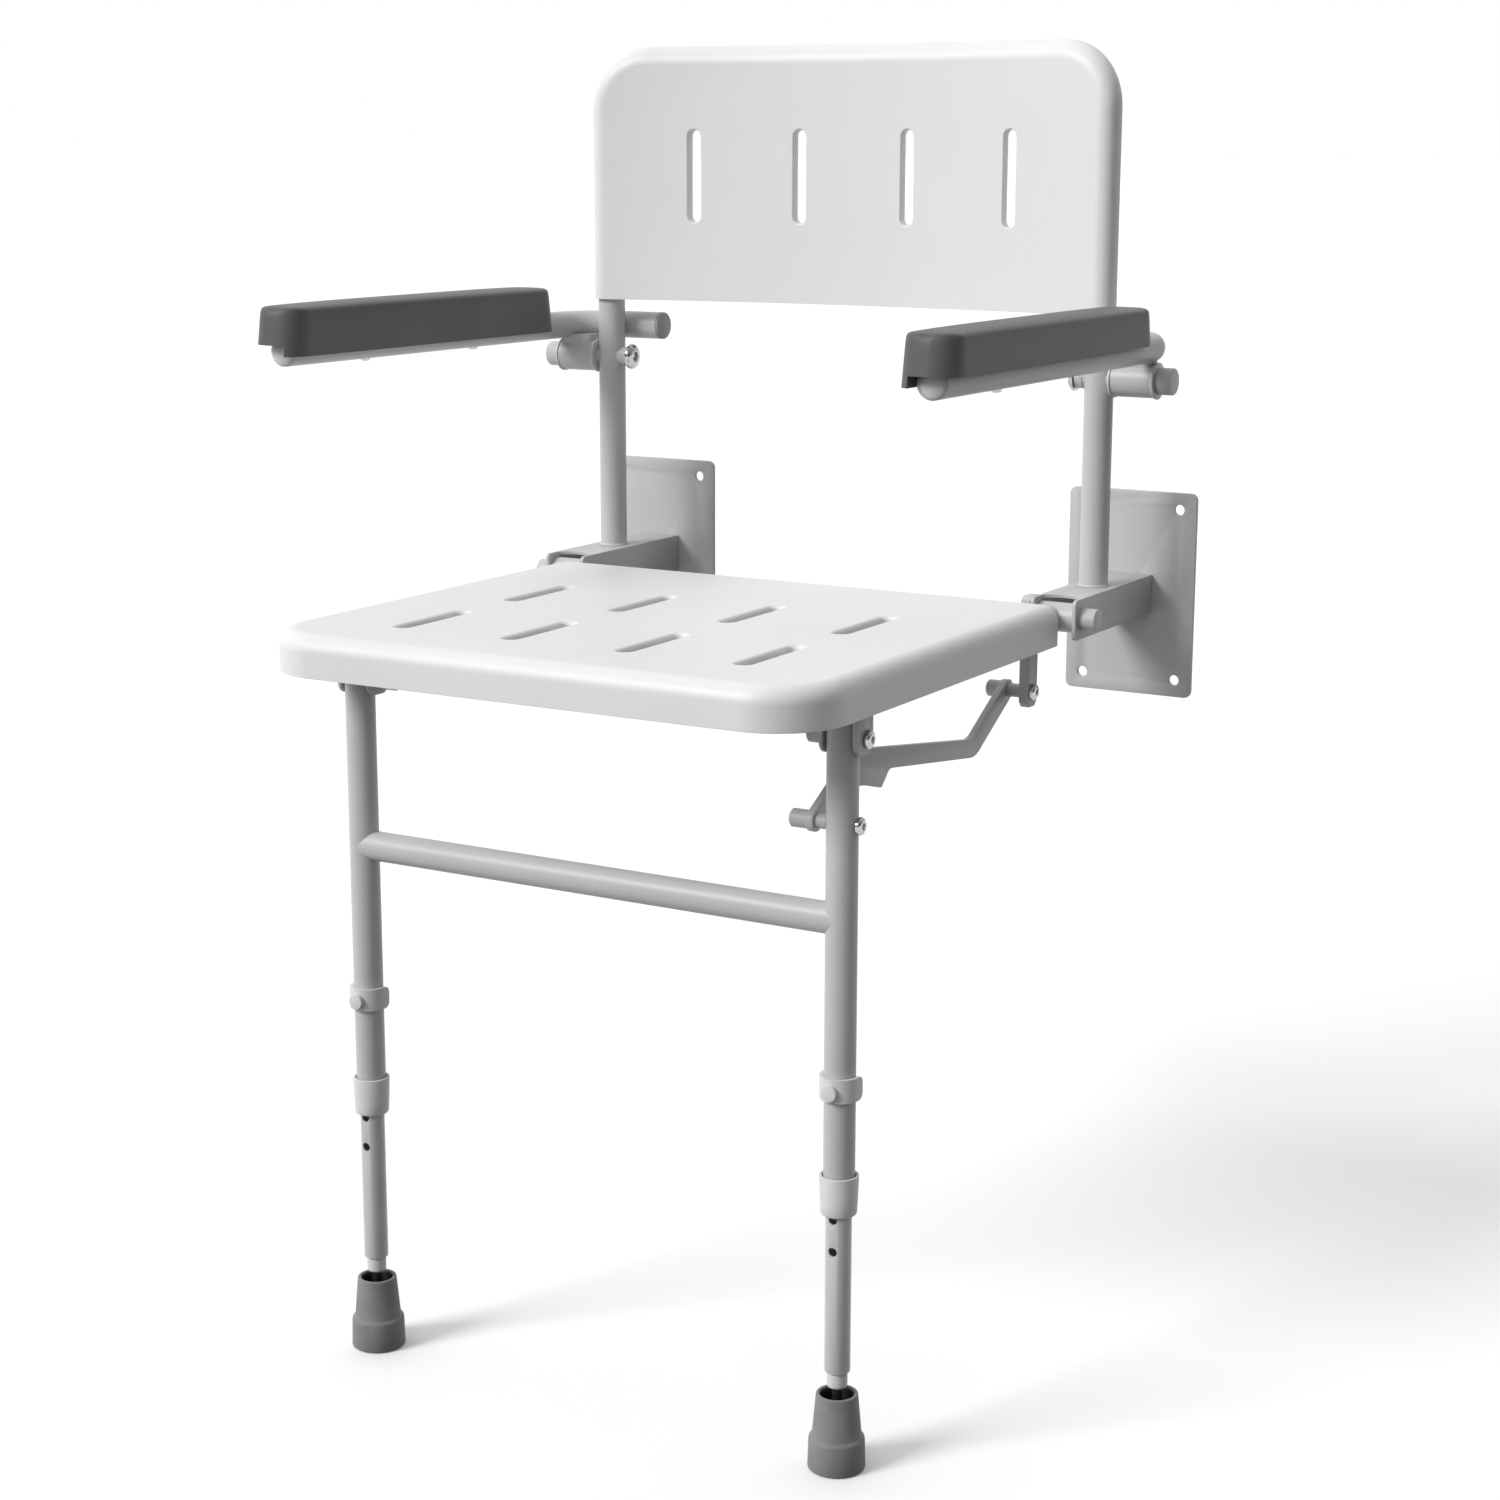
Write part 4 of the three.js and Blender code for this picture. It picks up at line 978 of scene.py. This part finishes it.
def make_arms():
    low, _ = span("arm_tube_right")
    front = low.y
    bend = [(u, v, ARM_Z) for u, v in arc(ARM_X - ARM_BEND, ARM_BACK_Y - ARM_BEND, ARM_BEND, 0, 90, 14)]
    piece = bent_tube([(ARM_X, front, ARM_Z)] + bend + [(low.x, ARM_BACK_Y, ARM_Z)], TUBE_R)
    pivot = middle("arm_axle_right")
    bush_low = span("arm_bush_inner_right")[0].x + BUSH_FLANGE + AIR
    bush_high = span("arm_bush_outer_right")[1].x - BUSH_FLANGE - AIR
    sleeve = bar("X", bush_low, bush_high, SLEEVE_R, pivot, ROUND)
    saddle = block(bush_low + 2.5, bush_high - 1.5, pivot.y - 9, pivot.y + 9, pivot.z + 8, ARM_Z - 8)
    with editing(saddle):
        pick_edges(saddle, lambda a, b: abs(a.z - b.z) > 1)
        bpy.ops.mesh.bevel(offset=5 * MM, segments=4)
    add_on(piece, saddle, sleeve)
    cut(piece, bar("X", bush_low - 5, bush_high + 5, 10.3, pivot, ROUND))
    smooth(piece)
    enter_pair(piece, "arm_rest_tube", "arm", "frame_coat", "arm_tube", own_body=True)

    for node, name, out in (("arm_bush_inner", "inner_bush", -1), ("arm_bush_outer", "outer_bush", 1)):
        low, high = span(f"{node}_right")
        tip, face = (high.x, low.x) if out < 0 else (low.x, high.x)
        step = face - out * BUSH_FLANGE
        outline = [(tip, 8.6), (tip, 10), (step, 10), (step, 14.6), (step + out * 0.3, 15),
                   (face - out * 0.4, 15), (face, 14.4), (face, 8.6), (tip, 8.6)]
        piece = turned(outline, "X", pivot, ROUND, ring=True)
        smooth(piece)
        enter_pair(piece, name, "arm", "pale_plastic", node, own_body=True)

    low, high = span("arm_axle_right")
    post_face = POST_X - TUBE_R
    shoulder = bush_high + 2.8
    outline = [(low.x, 4.3), (low.x, 8.2), (low.x + 0.5, 8.7), (post_face - AIR, 8.7),
               (post_face - AIR, 8), (shoulder, 8), (shoulder, 10.4), (shoulder + 0.6, 11),
               (high.x - 1, 11), (high.x - 0.2, 10.5), (high.x, 9.8)]
    piece = turned(outline, "X", pivot, ROUND)
    smooth(piece)
    enter_pair(piece, "arm_spindle", "wall_frame", "frame_coat", "arm_axle")

    low, high = span("arm_rear_cap_right")
    outline = [(high.x, 9.4), (low.x + 3, 9.4), (low.x + 3, 12), (low.x + 0.9, 12), (low.x + 0.25, 11.6),
               (low.x, 10.9)]
    piece = turned(outline, "X", (0, ARM_BACK_Y, ARM_Z), ROUND)
    smooth(piece)
    enter_pair(piece, "arm_end_cap", "arm", "end_cap", "arm_rear_cap", own_body=True)

    _, high = span("arm_front_plug_right")
    rim = front - AIR
    outline = [(high.y, 9.4), (rim, 9.4), (rim, 11.8)]
    for i in range(1, 9):
        turn = math.radians(10 * i)
        outline.append((rim - 4.5 * math.sin(turn), 11.8 * math.cos(turn)))
    piece = turned(outline, "Y", (ARM_X, 0, ARM_Z), ROUND)
    smooth(piece)
    enter_pair(piece, "arm_nose_plug", "arm", "pale_plastic", "arm_front_plug", own_body=True)

    foot = ARM_Z - TUBE_R
    for place, y in PAD_SCREW_YS.items():
        outline = [(foot - 1.9, 2.2), (foot - 1.6, 3.2), (foot - 0.9, 4), (foot + 2.5, 4.2)]
        piece = turned(outline, "Z", (ARM_X, y, 0))
        cut(piece, block(ARM_X - 0.5, ARM_X + 0.5, y - 2.2, y + 2.2, foot - 3, foot - 1.1),
            block(ARM_X - 2.2, ARM_X + 2.2, y - 0.5, y + 0.5, foot - 3, foot - 1.1))
        smooth(piece)
        enter_pair(piece, f"pad_screw_{place}", "arm", "chrome_screw", own_body=True)


PAD_LOW, PAD_HIGH = span("arm_pad_right")
PAD_OUTER_Z = 221  # underside of its outer half
PAD_CROWN = 1.6
PAD_CORNER = 19
PAD_REAR_SLANT = 5
PAD_FRONT_SLANT = 6
PAD_TAPER = 0.045  # the share of its width that it loses towards the top
PAD_GROOVE_Y = -494  # the groove for the tube stops short of the pad's front
PAD_UNDERCUT = 8  # the rounded form starts this far below the pad and is cut off at its underside


def fit_to(piece, low, high):
    """Stretches the piece to fill the box from low to high."""
    points = [vertex.co / MM for vertex in piece.data.vertices]
    for axis in range(3):
        first = min(point[axis] for point in points)
        scale = (high[axis] - low[axis]) / (max(point[axis] for point in points) - first)
        for vertex, point in zip(piece.data.vertices, points):
            vertex.co[axis] = (low[axis] + (point[axis] - first) * scale) * MM


def make_arm_pads():
    """Moulded foam pad, saddled over the tube: crowned top, round corners and slanting ends."""
    top = PAD_HIGH.z - PAD_CROWN
    low = PAD_LOW.z - PAD_UNDERCUT
    piece = block(PAD_LOW.x, PAD_HIGH.x, PAD_LOW.y, PAD_HIGH.y, low, top)
    with editing(piece):
        pick_edges(piece, lambda a, b: abs(a.z - b.z) > 1)
        bpy.ops.mesh.bevel(offset=PAD_CORNER * MM, segments=4)
        slice_across((PAD_LOW.x + PAD_CORNER + 0.5, PAD_HIGH.x - PAD_CORNER - 0.5), (1, 0, 0))
        slice_across((PAD_LOW.y + 24, PAD_LOW.y + 70, -315, PAD_HIGH.y - 70, PAD_HIGH.y - 24), (0, 1, 0))
        slice_across((low + 3, top - 8), (0, 0, 1))
    face_out(piece)
    apply_modifier(piece, "SUBSURF", levels=3, render_levels=3)
    fit_to(piece, (PAD_LOW.x, PAD_LOW.y, low), (PAD_HIGH.x, PAD_HIGH.y, top))
    mid_x = (PAD_LOW.x + PAD_HIGH.x) / 2
    mid_y = (PAD_LOW.y + PAD_HIGH.y) / 2
    half_x = (PAD_HIGH.x - PAD_LOW.x) / 2
    half_y = (PAD_HIGH.y - PAD_LOW.y) / 2
    for vertex in piece.data.vertices:
        x, y, z = vertex.co / MM
        rise = max((z - PAD_LOW.z) / (top - PAD_LOW.z), 0)
        u = (x - mid_x) / half_x
        v = (y - mid_y) / half_y
        lean = PAD_REAR_SLANT if v > 0 else PAD_FRONT_SLANT
        end = max(abs(v) - 0.72, 0) / 0.28
        y -= math.copysign(lean * rise * end, v)
        x = mid_x + (x - mid_x) * (1 - PAD_TAPER * rise)
        z += PAD_CROWN * max(1 - u * u, 0) * max(1 - v ** 4, 0) * rise
        vertex.co = (x * MM, y * MM, z * MM)
    past = 40  # how far a cutting tool runs past the pad
    front, rear = PAD_LOW.y - past, PAD_HIGH.y + past
    cut(piece, block(PAD_LOW.x - past, PAD_HIGH.x + past, front, rear, low - past, PAD_LOW.z),
        block(ARM_X - TUBE_R - AIR, PAD_HIGH.x + past, front, rear, low - past, PAD_OUTER_Z),
        bar("Y", PAD_GROOVE_Y, rear, TUBE_R + AIR, (ARM_X, 0, ARM_Z), ROUND))
    smooth(piece, 30)
    for pad in enter_pair(piece, "arm_cushion", "arm", "arm_pad", "arm_pad", own_body=True):
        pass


# ---- studio ----

BRIGHT_SIDE = (-0.70, 0.62, 0.35)  # the sky is brightest this way
SUNS = (  # name, the way to it, strength, and its width in degrees
    ("key_sun", (-0.42, -0.70, 0.57), 2.3, 22),
    ("fill_sun", (0.30, -0.85, 0.43), 0.45, 60),
)


def make_studio():
    floor_z = span("ferrule_right")[0].z * MM - 0.0004
    clear_selection()
    bpy.ops.mesh.primitive_plane_add(size=400, location=(0, 0, floor_z))
    floor = bpy.context.object
    floor.name = "studio_floor"
    settle_mesh(floor)
    finish = Finish("studio_floor_paint", Specular_IOR_Level=0.1)
    patch = finish.noise(1.5, 2.0)
    colour = finish.colours(patch, (0.95, 0.95, 0.95), (0.96, 0.96, 0.96))
    floor.data.materials.append(finish.paint(colour=colour, roughness=patch * 0.05 + 0.75))
    floor.visible_diffuse = False

    scene = bpy.context.scene
    scene.view_settings.view_transform = "Standard"
    world = bpy.data.worlds.new("studio")
    scene.world = world
    world.use_nodes = True
    tree = world.node_tree
    background = tree.nodes["Background"]
    direction = tree.nodes.new("ShaderNodeTexCoord").outputs["Generated"]
    facing = tree.nodes.new("ShaderNodeVectorMath")
    facing.operation = "DOT_PRODUCT"
    facing.inputs[1].default_value = BRIGHT_SIDE
    tree.links.new(direction, facing.inputs[0])
    ramp = tree.nodes.new("ShaderNodeMapRange")
    for name, value in (("From Min", -0.75), ("From Max", 0.70), ("To Min", 0.03), ("To Max", 1.0)):
        ramp.inputs[name].default_value = value
    tree.links.new(facing.outputs["Value"], ramp.inputs["Value"])
    tree.links.new(ramp.outputs["Result"], background.inputs["Color"])
    background.inputs["Strength"].default_value = 1.0

    for name, towards, strength, angle in SUNS:
        light = bpy.data.lights.new(name, "SUN")
        light.energy = strength
        light.angle = math.radians(angle)
        lamp = bpy.data.objects.new(name, light)
        scene.collection.objects.link(lamp)
        lamp.rotation_euler = Vector(towards).to_track_quat("Z", "Y").to_euler()


CAMERA_PLACE = (1126.9, -2191.1, 375.2)
CAMERA_AZIMUTH = 30.08
CAMERA_TILT = 12.43
CAMERA_ROLL = 0.11
CAMERA_LENS = 65.86


def make_camera():
    azimuth = math.radians(CAMERA_AZIMUTH)
    tilt = math.radians(CAMERA_TILT)
    right = Vector((math.cos(azimuth), math.sin(azimuth), 0))
    back = Vector((math.sin(azimuth) * math.cos(tilt), -math.cos(azimuth) * math.cos(tilt), math.sin(tilt)))
    up = back.cross(right)
    turn = math.radians(CAMERA_ROLL)
    rolled_right = math.cos(turn) * right + math.sin(turn) * up
    rolled_up = math.cos(turn) * up - math.sin(turn) * right
    axes = Matrix((rolled_right, rolled_up, back)).transposed()
    data = bpy.data.cameras.new("camera")
    data.lens = CAMERA_LENS
    data.sensor_width = 36
    camera = bpy.data.objects.new("camera", data)
    bpy.context.scene.collection.objects.link(camera)
    camera.matrix_world = Matrix.Translation(Vector(CAMERA_PLACE) * MM) @ axes.to_4x4()
    bpy.context.scene.camera = camera


make_camera()
make_studio()
make_seat()
make_backrest()
make_back_frame()
make_wall_brackets()
make_bolts()
make_studs()
make_seat_frame()
make_legs()
make_leg_extensions()
make_snap_clips()
make_link()
make_arms()
make_arm_pads()
